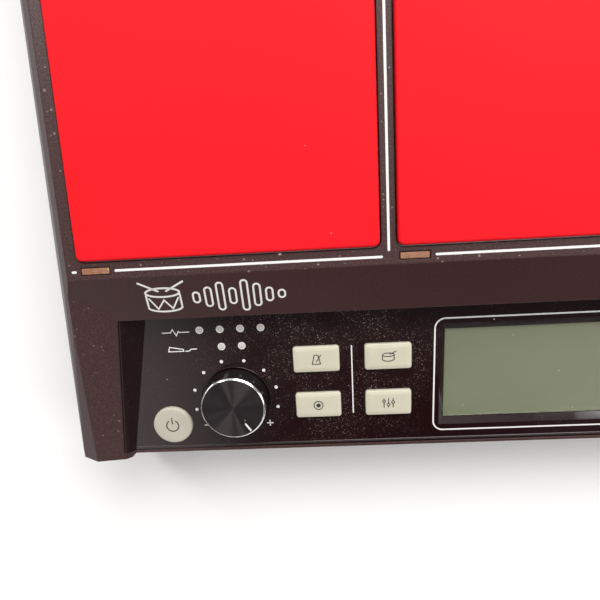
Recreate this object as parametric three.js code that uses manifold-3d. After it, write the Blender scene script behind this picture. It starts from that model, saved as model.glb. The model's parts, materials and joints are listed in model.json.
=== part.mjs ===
// Electronic drum pad: a table-top percussion instrument with rubber playing pads on a flat deck
// and a sunken, gloss control panel along its front edge. Millimetres, +X right, +Y rear, +Z up.
// The origin is on the surface it stands on, under the middle of the case.
import * as THREE from "three";
import { ConvexGeometry } from "three/addons/geometries/ConvexGeometry.js";
import { mergeVertices } from "three/addons/utils/BufferGeometryUtils.js";
import Module from "manifold-3d";

const wasm = await Module();
wasm.setup();

// ---------- driving dimensions ----------

const GAP = 0.3; // between pieces that touch
const CASE = {
  halfWidth: 195.8,
  halfDepth: 170,
  bottomZ: 6,
  splitZ: 32,
  deckZ: 62,
  wall: 3,
  floor: 2.5,
  deckHalfWidth: 180.3,
  deckRearY: 162.5,
  bevelOut: 3.9,
  bevelDrop: 3.3,
};
const PAD = {
  pitch: 119,
  gap: 6.4,
  frontY: -80.3,
  depth: 94,
  slimDepth: 36,
  rise: 1.6,
  corner: 2.5,
  clearance: 0.5,
};
const BROW = { topY: PAD.frontY - 6.8, edgeY: PAD.frontY - 24.7, drop: 6.47 };
const CHEEK = {
  innerRearX: 165.1,
  innerFrontX: 174.7,
  outerFrontX: 187.2,
  lowX: 195.6,
  innerDrop: 17.1,
  outerDrop: 15.6,
  lowDrop: 20.5,
  wallSpread: 0.31, // sideways run of the recess wall for each mm towards the front
};
const PANEL = {
  rearY: BROW.edgeY,
  rearZ: CASE.deckZ - 14,
  tilt: THREE.MathUtils.degToRad(5.27),
  length: 62,
  thick: 2.5,
  land: 0.5, // flat top of its side walls, beside the cheeks
};
const FRONT_LIP = 1.5; // case edge that shows in front of the control panel
const NOTCH_X = [-172.5, 172.5]; // the front wall stands back between the cheeks
const FRONT_WALL_Y = PANEL.rearY - PANEL.length * Math.cos(PANEL.tilt) - FRONT_LIP - GAP;
const PLATE = { overlap: 1.6, thick: 1.2 };
const SENSOR = { radius: 13.5, disc: 0.6, ceramicRadius: 10, ceramic: 0.5 };
const FOAM = { thick: 5, holeRadius: 16 };
const CHASSIS = { thick: 1.5, halfWidth: 177.5, slotHalfWidth: 30, slotY: [-15, 5], slotCorner: 6 };
const LIGHT = { inset: 1, width: 10.5, height: 2.3, lineOffset: 3.75, barDrop: 6.5, barHeight: 3.5 };
const BUTTON = {
  width: 19.3,
  height: 11.3,
  corner: 1.2,
  rise: 1.6,
  travel: 0.8,
  flange: 1.2,
  flangeOut: 0.9,
  clearance: 0.35,
};
const POWER_RADIUS = 8.55;
const KNOB = {
  skirt: 14.3,
  radius: 13.5,
  foot: 0.1,
  top: 8.7,
  chamfer: 0.55,
  well: 14.95,
  wellDepth: 0.4,
  boreTop: 6.7,
};
const SHAFT = { radius: 3, top: 6.3, keyedFrom: 1.4, bottom: -5.7, flat: 2.2 };
const BUSHING = { radius: 4.2, top: 0.9, room: 4.6, roomTop: 1.8 };
const SENSOR_HOUSING = 12.4; // square body of the potentiometer and of the encoder
const BOARD = { top: -8, thick: 1.6, halfWidth: 150, v: [4, 57], wingX: [-162, -140], wingV: [36, 57] };
const SWITCH = { half: 3, top: -6.4, stem: 1.75 };
const DISPLAY = { halfWidth: 34.9, v: [11.2, 51.7], bevelHalfWidth: 36.9, bevelV: [8.6, 54.4], depth: 1.7 };
const GLASS_THICK = 1.5;
const MODULE = { halfWidth: 41, v: [5, 57], bottom: -7.4 };
const JACK = { axisZ: 19.6, bore: 3.3, barrel: 4.6, nut: 6.2, body: 12, frontY: 146, boreDepth: 19 };
const REAR = { wall: 5, recess: 2.5, halfWidth: 162, z: [11.5, 28.5] };
const FOOT = { radius: 11, x: 165, y: 140, seat: 1.2 };
const MAIN_BOARD = { x: [-115, 115], y: [-45, 80], z: 13, thick: 1.6 };
const PILLAR = { radius: 3.5, x: 105, y: [-35, 70] };
const SOCKET_BOARD = { x: [-158, 140], y: [128, CASE.halfDepth - REAR.wall - 2], z: [12, 13.6] };
const TOWER = { radius: 5.5, boss: 3.6, head: 2.8, shank: 1.5, headZ: 24, shoulderZ: 26 };
const SCREWS = [
  [-183.6, -150],
  [183.6, -150],
  [-183.6, 150],
  [183.6, 150],
];
const STAND_HOLE = { radius: 2.2, spacingX: 140, spacingY: 90, depth: 5, boss: 5 };

// Places on the control panel: u is to the right of the middle, v is down the slope from its rear edge.
const KNOB_PLACE = [123.4, 38.9];
const POWER_PLACE = [-152.3, 50];
const BUTTON_COLUMNS = [88.1, 58.4];
const BUTTON_ROWS = [21.7, 42.7];

// ---------- materials ----------

const paint = (color, roughness, metalness = 0) =>
  new THREE.MeshStandardMaterial({ color, roughness, metalness });
const MATTE_CASE = paint(0x4a3433, 0.62);
const BASE_PLASTIC = paint(0x241d1d, 0.6);
const GLOSS_PANEL = paint(0x120d0f, 0.12);
const PAD_RUBBER = paint(0xe01c2b, 0.55);
const IVORY = paint(0xd3cbbb, 0.45);
const AMBER = paint(0xa05a32, 0.4);
const KNOB_METAL = paint(0x2b2628, 0.3, 0.9);
const STEEL = paint(0x9a9c9f, 0.4, 1);
const BRASS = paint(0xb08d4a, 0.4, 1);
const FOAM_GREY = paint(0x3a3a3c, 0.95);
const BOARD_GREEN = paint(0x1f5a3a, 0.5);
const SOCKET_BLACK = paint(0x161616, 0.5);
const LCD_GREEN = paint(0x828572, 0.3);
const CLEAR = paint(0xb9bda8, 0.1);
const FOOT_RUBBER = paint(0x1b1b1b, 0.9);

// ---------- solids ----------

function toSolid(geometry) {
  const bare = geometry.clone();
  bare.deleteAttribute("normal");
  bare.deleteAttribute("uv");
  const merged = mergeVertices(bare, 1e-4);
  return new wasm.Manifold(
    new wasm.Mesh({
      numProp: 3,
      vertProperties: new Float32Array(merged.attributes.position.array),
      triVerts: new Uint32Array(merged.index.array),
    }),
  );
}

function toGeometry(solid) {
  const { vertProperties, triVerts } = solid.getMesh();
  const geometry = new THREE.BufferGeometry();
  geometry.setAttribute("position", new THREE.BufferAttribute(vertProperties, 3));
  geometry.setIndex(new THREE.BufferAttribute(triVerts, 1));
  geometry.computeVertexNormals();
  return geometry;
}

const box = ([x0, x1], [y0, y1], [z0, z1]) =>
  toSolid(
    new THREE.BoxGeometry(x1 - x0, y1 - y0, z1 - z0).translate(
      (x0 + x1) / 2,
      (y0 + y1) / 2,
      (z0 + z1) / 2,
    ),
  );

const hull = (points) => toSolid(new ConvexGeometry(points.map((p) => new THREE.Vector3(...p))));

// Turns an outline of [radius, z] points, anticlockwise from the axis, about the Z axis.
function lathe(profile, segments, [x, y] = [0, 0]) {
  const points = profile.map(([r, z]) => new THREE.Vector2(r, z));
  const geometry = new THREE.LatheGeometry(points, segments);
  return toSolid(geometry.rotateX(Math.PI / 2).translate(x, y, 0));
}

const rod = (radius, [z0, z1], place, segments = 12) =>
  lathe([[0, z0], [radius, z0], [radius, z1], [0, z1]], segments, place);

// A rod that lies along Y, for the sockets in the rear wall.
const rodAlongY = (radius, [y0, y1], [x, z], segments = 12) =>
  toSolid(
    new THREE.CylinderGeometry(radius, radius, y1 - y0, segments).translate(x, (y0 + y1) / 2, z),
  );

function roundedBlock([x0, x1], [y0, y1], [z0, z1], corner, steps = 3) {
  const shape = new THREE.Shape();
  shape.moveTo(x0 + corner, y0);
  shape.lineTo(x1 - corner, y0);
  shape.absarc(x1 - corner, y0 + corner, corner, -Math.PI / 2, 0);
  shape.lineTo(x1, y1 - corner);
  shape.absarc(x1 - corner, y1 - corner, corner, 0, Math.PI / 2);
  shape.lineTo(x0 + corner, y1);
  shape.absarc(x0 + corner, y1 - corner, corner, Math.PI / 2, Math.PI);
  shape.lineTo(x0, y0 + corner);
  shape.absarc(x0 + corner, y0 + corner, corner, Math.PI, Math.PI * 1.5);
  const geometry = new THREE.ExtrudeGeometry(shape, {
    depth: z1 - z0,
    bevelEnabled: false,
    curveSegments: steps,
  });
  return toSolid(geometry.translate(0, 0, z0));
}

const grown = ([low, high], by) => [low - by, high + by];
const mirrored = (points) => points.flatMap(([x, y, z]) => [[x, y, z], [-x, y, z]]);
const joined = (solids) => solids.reduce((all, next) => all.add(next));
const middle = ([low, high]) => (low + high) / 2;
const fourCorners = (x, y) => [-1, 1].flatMap((sx) => [-1, 1].map((sy) => [sx * x, sy * y]));

const drumPad = new THREE.Group();
const panel = new THREE.Group();
panel.position.set(0, PANEL.rearY, PANEL.rearZ);
panel.rotation.x = PANEL.tilt;
panel.updateMatrix();
drumPad.add(panel);

function addPiece(name, solid, material, parent = drumPad) {
  const mesh = new THREE.Mesh(toGeometry(solid), material);
  mesh.name = name;
  parent.add(mesh);
}

// A solid given in the panel's own axes, moved to the part's axes.
const onPanel = (solid) => solid.transform(panel.matrix.elements);

// ---------- case outline ----------

const caseFrontY = -CASE.halfDepth;
const panelFloorZ = (y) => PANEL.rearZ - (PANEL.rearY - y) * Math.tan(PANEL.tilt);

// The closed outer form of the upper case, before its slopes are cut; every side moves in by inset.
function caseBlock(inset) {
  const top = CASE.deckZ - inset;
  const side = CASE.deckHalfWidth - inset;
  const low = [side + CASE.bevelOut, top - CASE.bevelDrop];
  const front = caseFrontY + inset;
  return hull(
    mirrored([
      [side, BROW.topY, top],
      [side, CASE.deckRearY - inset, top],
      [low[0], BROW.topY, low[1]],
      [low[0], CASE.deckRearY + CASE.bevelOut - inset, low[1]],
      [CHEEK.outerFrontX - inset, front, top - CHEEK.outerDrop],
      [CHEEK.lowX - inset, front, top - CHEEK.lowDrop],
      [CASE.halfWidth - inset, front, CASE.splitZ],
      [CASE.halfWidth - inset, CASE.halfDepth - inset, CASE.splitZ],
    ]),
  );
}

// All the space above a plane whose height is heightAt(x, y).
function spaceAbove(heightAt) {
  const corners = [-250, 250].flatMap((x) => [-250, 250].map((y) => [x, y]));
  return hull([
    ...corners.map(([x, y]) => [x, y, heightAt(x, y)]),
    ...corners.map(([x, y]) => [x, y, 250]),
  ]);
}

const browHeight = (drop) => (x, y) =>
  CASE.deckZ - drop - ((BROW.topY - y) * BROW.drop) / (BROW.topY - BROW.edgeY);

// The top of a cheek rises outwards and backwards from its inner front corner.
function cheekHeight(side, drop) {
  const acrossSlope = (CHEEK.innerDrop - CHEEK.outerDrop) / (CHEEK.outerFrontX - CHEEK.innerFrontX);
  const innerSpread = CHEEK.innerFrontX - CHEEK.innerRearX;
  const rise = CHEEK.innerDrop - BROW.drop + acrossSlope * innerSpread;
  const alongSlope = rise / (BROW.edgeY - caseFrontY);
  return (x, y) =>
    CASE.deckZ -
    drop -
    CHEEK.innerDrop +
    acrossSlope * (side * x - CHEEK.innerFrontX) +
    alongSlope * (y - caseFrontY);
}

const cutAway = (drop) =>
  spaceAbove(browHeight(drop))
    .intersect(spaceAbove((x, y) => panelFloorZ(y) - drop))
    .intersect(spaceAbove(cheekHeight(1, drop)))
    .intersect(spaceAbove(cheekHeight(-1, drop)));

// The sunken space over the control panel; its side walls lean outwards at 45 degrees.
function panelSpace(grow) {
  const wallX = (y, z) =>
    CHEEK.innerRearX + (z - CASE.deckZ + BROW.drop) + CHEEK.wallSpread * (PANEL.rearY - y);
  const rear = PANEL.rearY + grow;
  const front = caseFrontY - 10;
  const corner = (y, z) => [wallX(y, z) + grow * (1 + Math.SQRT2), y, z];
  const floorZ = (y) => panelFloorZ(y) - grow;
  const ceiling = CASE.deckZ + 20;
  return hull(
    mirrored([
      corner(rear, floorZ(rear)),
      corner(front, floorZ(front)),
      corner(rear, ceiling),
      corner(front, ceiling),
    ]),
  );
}

// Upright-sided block that reaches just under the inner edges of the two cheeks.
function panelBlock(grow, [rearY, frontY], bottomAt) {
  const edgeX = (y) =>
    CHEEK.innerRearX +
    ((CHEEK.innerFrontX - CHEEK.innerRearX) * (BROW.edgeY - y)) / (BROW.edgeY - caseFrontY);
  return hull(
    mirrored(
      [rearY, frontY].flatMap((y) => [
        [edgeX(y) + PANEL.land + grow, y, bottomAt(y)],
        [edgeX(y) + PANEL.land + grow, y, CASE.deckZ + 10],
      ]),
    ),
  );
}

const panelFrontY = FRONT_WALL_Y + FRONT_LIP + GAP;
const frontNotch = (z) => box(NOTCH_X, [caseFrontY - 5, FRONT_WALL_Y], z);

// ---------- playing pads ----------

const padRows = [
  { y: PAD.frontY, depth: PAD.depth, columns: 3 },
  { y: PAD.frontY + PAD.depth + PAD.gap, depth: PAD.depth, columns: 3 },
  { y: PAD.frontY + 2 * (PAD.depth + PAD.gap), depth: PAD.slimDepth, columns: 2 },
];
const fieldHalfWidth = 1.5 * PAD.pitch - PAD.gap / 2;
const pads = padRows.flatMap((row, rowIndex) => {
  const step = (2 * fieldHalfWidth + PAD.gap) / row.columns;
  return Array.from({ length: row.columns }, (_, i) => {
    const left = -fieldHalfWidth + i * step;
    return { x: [left, left + step - PAD.gap], y: [row.y, row.y + row.depth], rowIndex };
  });
});

const underDeck = CASE.deckZ - CASE.wall;
const plateTop = underDeck - GAP;
const plateBottom = plateTop - PLATE.thick;
const foamTop = plateBottom - GAP;
const foamBottom = foamTop - FOAM.thick;
const chassisTop = foamBottom - GAP;
const chassisBottom = chassisTop - CHASSIS.thick;

function addPads() {
  pads.forEach((pad, i) => {
    const z = [underDeck, CASE.deckZ + PAD.rise];
    addPiece(`pad_${i + 1}`, roundedBlock(pad.x, pad.y, z, PAD.corner), PAD_RUBBER);
    const plate = roundedBlock(
      grown(pad.x, PLATE.overlap),
      grown(pad.y, PLATE.overlap),
      [plateBottom, plateTop],
      PAD.corner,
      2,
    );
    addPiece(`pad_plate_${i + 1}`, plate, STEEL);
    const top = plateBottom - GAP;
    const sensor = lathe(
      [
        [0, top - SENSOR.disc - SENSOR.ceramic],
        [SENSOR.ceramicRadius, top - SENSOR.disc - SENSOR.ceramic],
        [SENSOR.ceramicRadius, top - SENSOR.disc],
        [SENSOR.radius, top - SENSOR.disc],
        [SENSOR.radius, top],
        [0, top],
      ],
      14,
      [middle(pad.x), middle(pad.y)],
    );
    addPiece(`pad_sensor_${i + 1}`, sensor, BRASS);
  });
}

// ---------- lit windows in front of the pads ----------

const windowY = (pad) => pad.y[0] - (pad.rowIndex === 0 ? LIGHT.lineOffset : PAD.gap / 2);
const windowX = (pad) => [pad.x[0] + LIGHT.inset, pad.x[0] + LIGHT.inset + LIGHT.width];
const windowSpan = (y) => [y - LIGHT.height / 2, y + LIGHT.height / 2];

function addLightGuides() {
  ["front", "middle", "rear"].forEach((name, rowIndex) => {
    const row = pads.filter((pad) => pad.rowIndex === rowIndex);
    const y = windowSpan(windowY(row[0]));
    const barTop = CASE.deckZ - LIGHT.barDrop;
    const ends = [windowX(row[0])[0], windowX(row[row.length - 1])[1]];
    const tabs = row.map((pad) => box(windowX(pad), y, [barTop - 1, CASE.deckZ]));
    const bar = box(ends, y, [barTop - LIGHT.barHeight, barTop]);
    addPiece(`light_guide_${name}`, joined([bar, ...tabs]), AMBER);
  });
}

// ---------- support under the pads ----------

const padField = {
  x: grown([-fieldHalfWidth, fieldHalfWidth], 0.7),
  y: [PAD.frontY - 1, pads[pads.length - 1].y[1] + 1],
};

function addPadSupport() {
  let foam = box(padField.x, padField.y, [foamBottom, foamTop]);
  pads.forEach((pad) => {
    const place = [middle(pad.x), middle(pad.y)];
    foam = foam.subtract(rod(FOAM.holeRadius, grown([foamBottom, foamTop], 1), place, 14));
  });
  [1, 2].forEach((rowIndex) => {
    const row = pads.filter((pad) => pad.rowIndex === rowIndex);
    const ends = [windowX(row[0])[0], windowX(row[row.length - 1])[1]];
    const slit = grown(windowSpan(windowY(row[0])), 0.6);
    foam = foam.subtract(box(grown(ends, 1), slit, grown([foamBottom, foamTop], 1)));
  });
  addPiece("foam_sheet", foam, FOAM_GREY);

  const sheet = [chassisBottom, chassisTop];
  let chassis = box([-CHASSIS.halfWidth, CHASSIS.halfWidth], padField.y, sheet);
  [-1, 0, 1].forEach((column) => {
    const x = column * PAD.pitch;
    const slotX = [x - CHASSIS.slotHalfWidth, x + CHASSIS.slotHalfWidth];
    const opening = roundedBlock(slotX, CHASSIS.slotY, grown(sheet, 1), CHASSIS.slotCorner, 2);
    chassis = chassis.subtract(opening);
  });
  addPiece("pad_chassis", chassis, STEEL);
}

// ---------- upper case ----------

function addUpperCase() {
  let shell = caseBlock(0).subtract(cutAway(0));
  let hollow = caseBlock(CASE.wall).subtract(cutAway(CASE.wall + 0.2));
  hollow = hollow.subtract(box([-200, 200], [caseFrontY - 5, FRONT_WALL_Y + CASE.wall], [0, 70]));
  const slot = [CASE.splitZ - 5, CASE.splitZ + 0.5];
  const mouth = box(
    [CASE.wall - CASE.halfWidth, CASE.halfWidth - CASE.wall],
    [FRONT_WALL_Y + CASE.wall, CASE.halfDepth - CASE.wall],
    slot,
  );
  shell = shell.subtract(hollow).subtract(mouth).subtract(panelSpace(0));
  const ledge = (y) => panelFloorZ(y) - PANEL.thick - GAP;
  shell = shell.subtract(panelBlock(GAP, [PANEL.rearY, panelFrontY - GAP], ledge));
  const below = () => CASE.splitZ - 10;
  shell = shell.subtract(panelBlock(GAP, [PANEL.rearY, FRONT_WALL_Y + CASE.wall], below));
  shell = shell.subtract(frontNotch([0, CASE.deckZ]));

  const throughDeck = grown([underDeck, CASE.deckZ], 2);
  pads.forEach((pad) => {
    const x = grown(pad.x, PAD.clearance);
    const y = grown(pad.y, PAD.clearance);
    shell = shell.subtract(roundedBlock(x, y, throughDeck, PAD.corner + PAD.clearance));
    const window = grown(windowSpan(windowY(pad)), GAP);
    shell = shell.subtract(box(grown(windowX(pad), GAP), window, throughDeck));
  });

  const bossZ = [CASE.splitZ + GAP, CASE.splitZ + 16];
  SCREWS.forEach((place) => {
    shell = shell.add(rod(TOWER.boss, bossZ, place));
    shell = shell.subtract(rod(TOWER.shank + GAP, grown(bossZ, -2), place));
    shell = shell.subtract(rod(TOWER.shank + GAP, [bossZ[0] - 1, bossZ[0] + 3], place));
  });
  addPiece("upper_case", shell, MATTE_CASE);
}

// ---------- sockets ----------

const jacks = [-94, -68, -42, -8, 18, 52, 78, 104, 130];
const usb = { x: -122, halfWidth: 6, z: [13, 25], bore: [4.2, 3.9] };
const power = { x: -150, halfWidth: 4.6, z: [13, 24], bore: 3.2 };
const recessY = CASE.halfDepth - REAR.recess;

// ---------- lower case ----------

const pillars = [-1, 1].flatMap((sx) => PILLAR.y.map((y) => [sx * PILLAR.x, y]));
const feet = fourCorners(FOOT.x, FOOT.y);
const standHoles = fourCorners(STAND_HOLE.spacingX / 2, STAND_HOLE.spacingY / 2);

function addLowerCase() {
  const chamfer = 3;
  const x = CASE.halfWidth;
  const y = CASE.halfDepth;
  const ring = (inset, z) => [
    [x - inset, y - inset, z],
    [x - inset, inset - y, z],
  ];
  const top = CASE.splitZ - GAP;
  let tray = hull(
    mirrored([
      ...ring(chamfer, CASE.bottomZ),
      ...ring(0, CASE.bottomZ + chamfer),
      ...ring(0, top),
    ]),
  );
  const inside = CASE.bottomZ + CASE.floor;
  const room = box(
    [CASE.wall - x, x - CASE.wall],
    [FRONT_WALL_Y + CASE.wall, y - REAR.wall],
    [inside, top + 5],
  );
  tray = tray.subtract(room).subtract(frontNotch([0, CASE.deckZ]));
  tray = tray.subtract(box([-REAR.halfWidth, REAR.halfWidth], [recessY, y + 5], REAR.z));

  SCREWS.forEach((place) => {
    tray = tray.add(rod(TOWER.radius, [CASE.bottomZ, top], place));
    tray = tray.subtract(rod(TOWER.head + 0.6, [0, TOWER.shoulderZ], place));
    tray = tray.subtract(rod(TOWER.shank + GAP, [0, top + 1], place));
  });
  pillars.forEach((place) => {
    tray = tray.add(rod(PILLAR.radius, [CASE.bottomZ, MAIN_BOARD.z - GAP], place));
  });
  feet.forEach((place) => {
    const seat = [CASE.bottomZ - 1, CASE.bottomZ + FOOT.seat + GAP];
    tray = tray.subtract(rod(FOOT.radius + GAP, seat, place, 16));
  });
  standHoles.forEach((place) => {
    const holeTop = CASE.bottomZ + STAND_HOLE.depth;
    tray = tray.add(rod(STAND_HOLE.boss, [CASE.bottomZ, holeTop + 1.5], place));
    tray = tray.subtract(rod(STAND_HOLE.radius, [0, holeTop], place));
  });
  const through = [y - REAR.wall - 1, y + 1];
  jacks.forEach((jackX) => {
    tray = tray.subtract(rodAlongY(JACK.barrel + GAP, through, [jackX, JACK.axisZ]));
  });
  [usb, power].forEach((socket) => {
    const width = grown([socket.x - socket.halfWidth, socket.x + socket.halfWidth], GAP);
    tray = tray.subtract(box(width, through, grown(socket.z, GAP)));
  });
  addPiece("lower_case", tray, BASE_PLASTIC);
}

function addScrewsAndFeet() {
  const shankTop = CASE.splitZ + 12;
  SCREWS.forEach((place, i) => {
    const screw = lathe(
      [
        [0, TOWER.headZ - 0.6],
        [TOWER.head, TOWER.headZ - 0.6],
        [TOWER.head, TOWER.shoulderZ - GAP],
        [TOWER.shank, TOWER.shoulderZ - GAP],
        [TOWER.shank, shankTop - 2],
        [0, shankTop],
      ],
      12,
      place,
    );
    addPiece(`case_screw_${i + 1}`, screw, STEEL);
  });
  feet.forEach((place, i) => {
    const top = CASE.bottomZ + FOOT.seat;
    const profile = [
      [0, 0],
      [FOOT.radius - 2, 0],
      [FOOT.radius - 0.5, 1.5],
      [FOOT.radius, 3],
      [FOOT.radius, top],
      [0, top],
    ];
    addPiece(`foot_${i + 1}`, lathe(profile, 16, place), FOOT_RUBBER);
  });
}

// ---------- control panel and what is on it ----------

function addControlPanel() {
  const rearWallTop = CASE.deckZ - BROW.drop - CASE.wall - 0.7;
  const block = panelBlock(0, [PANEL.rearY + PANEL.thick, panelFrontY], () => CASE.splitZ);
  let plate = caseBlock(0)
    .subtract(cutAway(0))
    .intersect(block)
    .intersect(panelSpace(PANEL.thick))
    .subtract(panelSpace(0))
    .subtract(box([-200, 200], [PANEL.rearY, PANEL.rearY + 10], [rearWallTop, CASE.deckZ + 5]));

  const through = [-PANEL.thick - 3, 3];
  BUTTON_COLUMNS.flatMap((u) => [u, -u]).forEach((u) =>
    BUTTON_ROWS.forEach((v) => {
      const x = grown([u - BUTTON.width / 2, u + BUTTON.width / 2], BUTTON.clearance);
      const y = grown([-v - BUTTON.height / 2, -v + BUTTON.height / 2], BUTTON.clearance);
      const corner = BUTTON.corner + BUTTON.clearance;
      plate = plate.subtract(onPanel(roundedBlock(x, y, through, corner, 2)));
    }),
  );
  const [powerU, powerV] = POWER_PLACE;
  const powerHole = rod(POWER_RADIUS + BUTTON.clearance, through, [powerU, -powerV], 32);
  plate = plate.subtract(onPanel(powerHole));
  [-1, 1].forEach((side) => {
    const place = [side * KNOB_PLACE[0], -KNOB_PLACE[1]];
    plate = plate.subtract(onPanel(rod(KNOB.well, [-KNOB.wellDepth, 3], place, 40)));
    plate = plate.subtract(onPanel(rod(BUSHING.room, through, place)));
  });
  const { halfWidth, v, bevelHalfWidth, bevelV, depth } = DISPLAY;
  const opening = box([-halfWidth, halfWidth], [-v[1], -v[0]], through);
  const slope = hull([
    ...[-bevelHalfWidth, bevelHalfWidth].flatMap((x) => bevelV.map((d) => [x, -d, 0])),
    ...[-bevelHalfWidth, bevelHalfWidth].flatMap((x) => bevelV.map((d) => [x, -d, 1])),
    ...[-halfWidth, halfWidth].flatMap((x) => v.map((d) => [x, -d, -depth])),
  ]);
  plate = plate.subtract(onPanel(opening)).subtract(onPanel(slope));
  addPiece("control_panel", plate, GLOSS_PANEL);
}

function addDisplay() {
  const { halfWidth, v, depth } = DISPLAY;
  const glassTop = -depth - 0.1;
  const x = grown([-halfWidth, halfWidth], -GAP);
  const y = grown([-v[1], -v[0]], -GAP);
  const glassBottom = glassTop - GLASS_THICK;
  addPiece("display_window", box(x, y, [glassBottom, glassTop]), CLEAR, panel);
  const moduleX = [-MODULE.halfWidth, MODULE.halfWidth];
  const frame = box(moduleX, [-MODULE.v[1], -MODULE.v[0]], [MODULE.bottom, glassBottom - GAP]);
  addPiece("display_module", frame, LCD_GREEN, panel);
}

// A key cap with a flange below that keeps it in; the cap's edge is chamfered.
function rectangularButton(u, v) {
  const x = [u - BUTTON.width / 2, u + BUTTON.width / 2];
  const y = [-v - BUTTON.height / 2, -v + BUTTON.height / 2];
  const flangeTop = -PANEL.thick - GAP;
  const flangeZ = [flangeTop - BUTTON.flange, flangeTop];
  const cap = roundedBlock(x, y, [flangeTop - 0.1, BUTTON.rise - 0.6], BUTTON.corner, 2);
  const crown = hull([
    ...grown(x, -0.2).flatMap((px) => grown(y, -0.2).map((py) => [px, py, BUTTON.rise - 0.7])),
    ...grown(x, -0.9).flatMap((px) => grown(y, -0.9).map((py) => [px, py, BUTTON.rise])),
  ]);
  const flange = box(grown(x, BUTTON.flangeOut), grown(y, BUTTON.flangeOut), flangeZ);
  return joined([cap, crown, flange]);
}

function roundButton([u, v]) {
  const flangeTop = -PANEL.thick - GAP;
  const profile = [
    [0, flangeTop - BUTTON.flange],
    [POWER_RADIUS + BUTTON.flangeOut, flangeTop - BUTTON.flange],
    [POWER_RADIUS + BUTTON.flangeOut, flangeTop],
    [POWER_RADIUS, flangeTop],
    [POWER_RADIUS, BUTTON.rise - 0.6],
    [POWER_RADIUS - 0.6, BUTTON.rise],
    [0, BUTTON.rise],
  ];
  return lathe(profile, 32, [u, -v]);
}

const leftKeys = [
  ["click_button", 0, 0],
  ["record_button", 0, 1],
  ["kit_button", 1, 0],
  ["setup_button", 1, 1],
];
const rightKeys = [
  ["up_button", 0, 0],
  ["down_button", 0, 1],
  ["enter_button", 1, 0],
  ["exit_button", 1, 1],
];

function addButtons() {
  leftKeys.forEach(([name, column, row]) => {
    const key = rectangularButton(-BUTTON_COLUMNS[column], BUTTON_ROWS[row]);
    addPiece(name, key, IVORY, panel);
  });
  rightKeys.forEach(([name, column, row]) => {
    const key = rectangularButton(BUTTON_COLUMNS[column], BUTTON_ROWS[row]);
    addPiece(name, key, IVORY, panel);
  });
  addPiece("power_button", roundButton(POWER_PLACE), IVORY, panel);
}

// The part of a round shaft or bore that its flat leaves.
function flatted(radius, span, place, flat) {
  const [x, y] = place;
  const beyond = [x + flat, x + radius + 1];
  const round = rod(radius, span, place);
  return round.subtract(box(beyond, grown([y - radius, y + radius], 1), grown(span, 1)));
}

function addKnob(side, knobName, shaftName, bodyName) {
  const place = [side * KNOB_PLACE[0], -KNOB_PLACE[1]];
  const profile = [
    [0, KNOB.foot],
    [KNOB.skirt, KNOB.foot],
    [KNOB.radius, KNOB.top - KNOB.chamfer],
    [KNOB.radius - KNOB.chamfer, KNOB.top],
    [0, KNOB.top],
  ];
  const below = KNOB.foot - 1;
  const bore = flatted(SHAFT.radius + GAP, [below, KNOB.boreTop], place, SHAFT.flat + GAP);
  const bushingRoom = rod(BUSHING.room, [below, BUSHING.roomTop], place);
  const knob = lathe(profile, 32, place).subtract(bore).subtract(bushingRoom);
  addPiece(knobName, knob, KNOB_METAL, panel);

  const round = rod(SHAFT.radius, [SHAFT.bottom, SHAFT.keyedFrom + 0.1], place);
  const keyed = flatted(SHAFT.radius, [SHAFT.keyedFrom, SHAFT.top], place, SHAFT.flat);
  addPiece(shaftName, round.add(keyed), STEEL, panel);

  const half = SENSOR_HOUSING / 2;
  const [x, y] = place.map((centre) => [centre - half, centre + half]);
  const housing = box(x, y, [BOARD.top + GAP, -PANEL.thick - GAP]);
  const bushing = rod(BUSHING.radius, [-PANEL.thick - 1, BUSHING.top], place);
  const room = rod(SHAFT.radius + GAP, [SHAFT.bottom - GAP, BUSHING.top + 1], place);
  addPiece(bodyName, housing.add(bushing).subtract(room), STEEL, panel);
}

function addControlBoard() {
  const sheet = [BOARD.top - BOARD.thick, BOARD.top];
  const alongV = ([near, far]) => [-far, -near];
  let board = box([-BOARD.halfWidth, BOARD.halfWidth], alongV(BOARD.v), sheet);
  board = board.add(box(BOARD.wingX, alongV(BOARD.wingV), sheet));
  const keyPlaces = BUTTON_COLUMNS.flatMap((u) => [u, -u]).flatMap((u) =>
    BUTTON_ROWS.map((v) => [u, v]),
  );
  const stemTop = -PANEL.thick - GAP - BUTTON.flange - BUTTON.travel - GAP;
  [...keyPlaces, POWER_PLACE].forEach(([u, v]) => {
    const x = [u - SWITCH.half, u + SWITCH.half];
    const y = [-v - SWITCH.half, -v + SWITCH.half];
    board = board.add(box(x, y, [BOARD.top - 0.5, SWITCH.top]));
    board = board.add(rod(SWITCH.stem, [SWITCH.top - 0.2, stemTop], [u, -v], 10));
  });
  addPiece("control_board", board, BOARD_GREEN, panel);
}

// ---------- boards in the lower case ----------

// Chips, connectors and a capacitor on the main board: middle, and width, depth and height.
const MAIN_BOARD_PARTS = [
  { at: [-20, 10], size: [28, 28, 1.6] },
  { at: [35, 15], size: [18, 12, 1.4] },
  { at: [-75, 40], size: [14, 14, 6] },
  { at: [75, 45], size: [30, 6, 8] },
  { at: [0, 65], size: [60, 6, 8] },
  { at: [-60, -25], size: [40, 6, 8] },
  { at: [60, -20], size: [10, 18, 9] },
];

function addMainBoard() {
  const top = MAIN_BOARD.z + MAIN_BOARD.thick;
  let board = box(MAIN_BOARD.x, MAIN_BOARD.y, [MAIN_BOARD.z, top]);
  MAIN_BOARD_PARTS.forEach(({ at: [x, y], size: [width, depth, height] }) => {
    const partX = [x - width / 2, x + width / 2];
    const partY = [y - depth / 2, y + depth / 2];
    board = board.add(box(partX, partY, [top - 0.1, top + height]));
  });
  addPiece("main_board", board, BOARD_GREEN);
}

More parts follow.
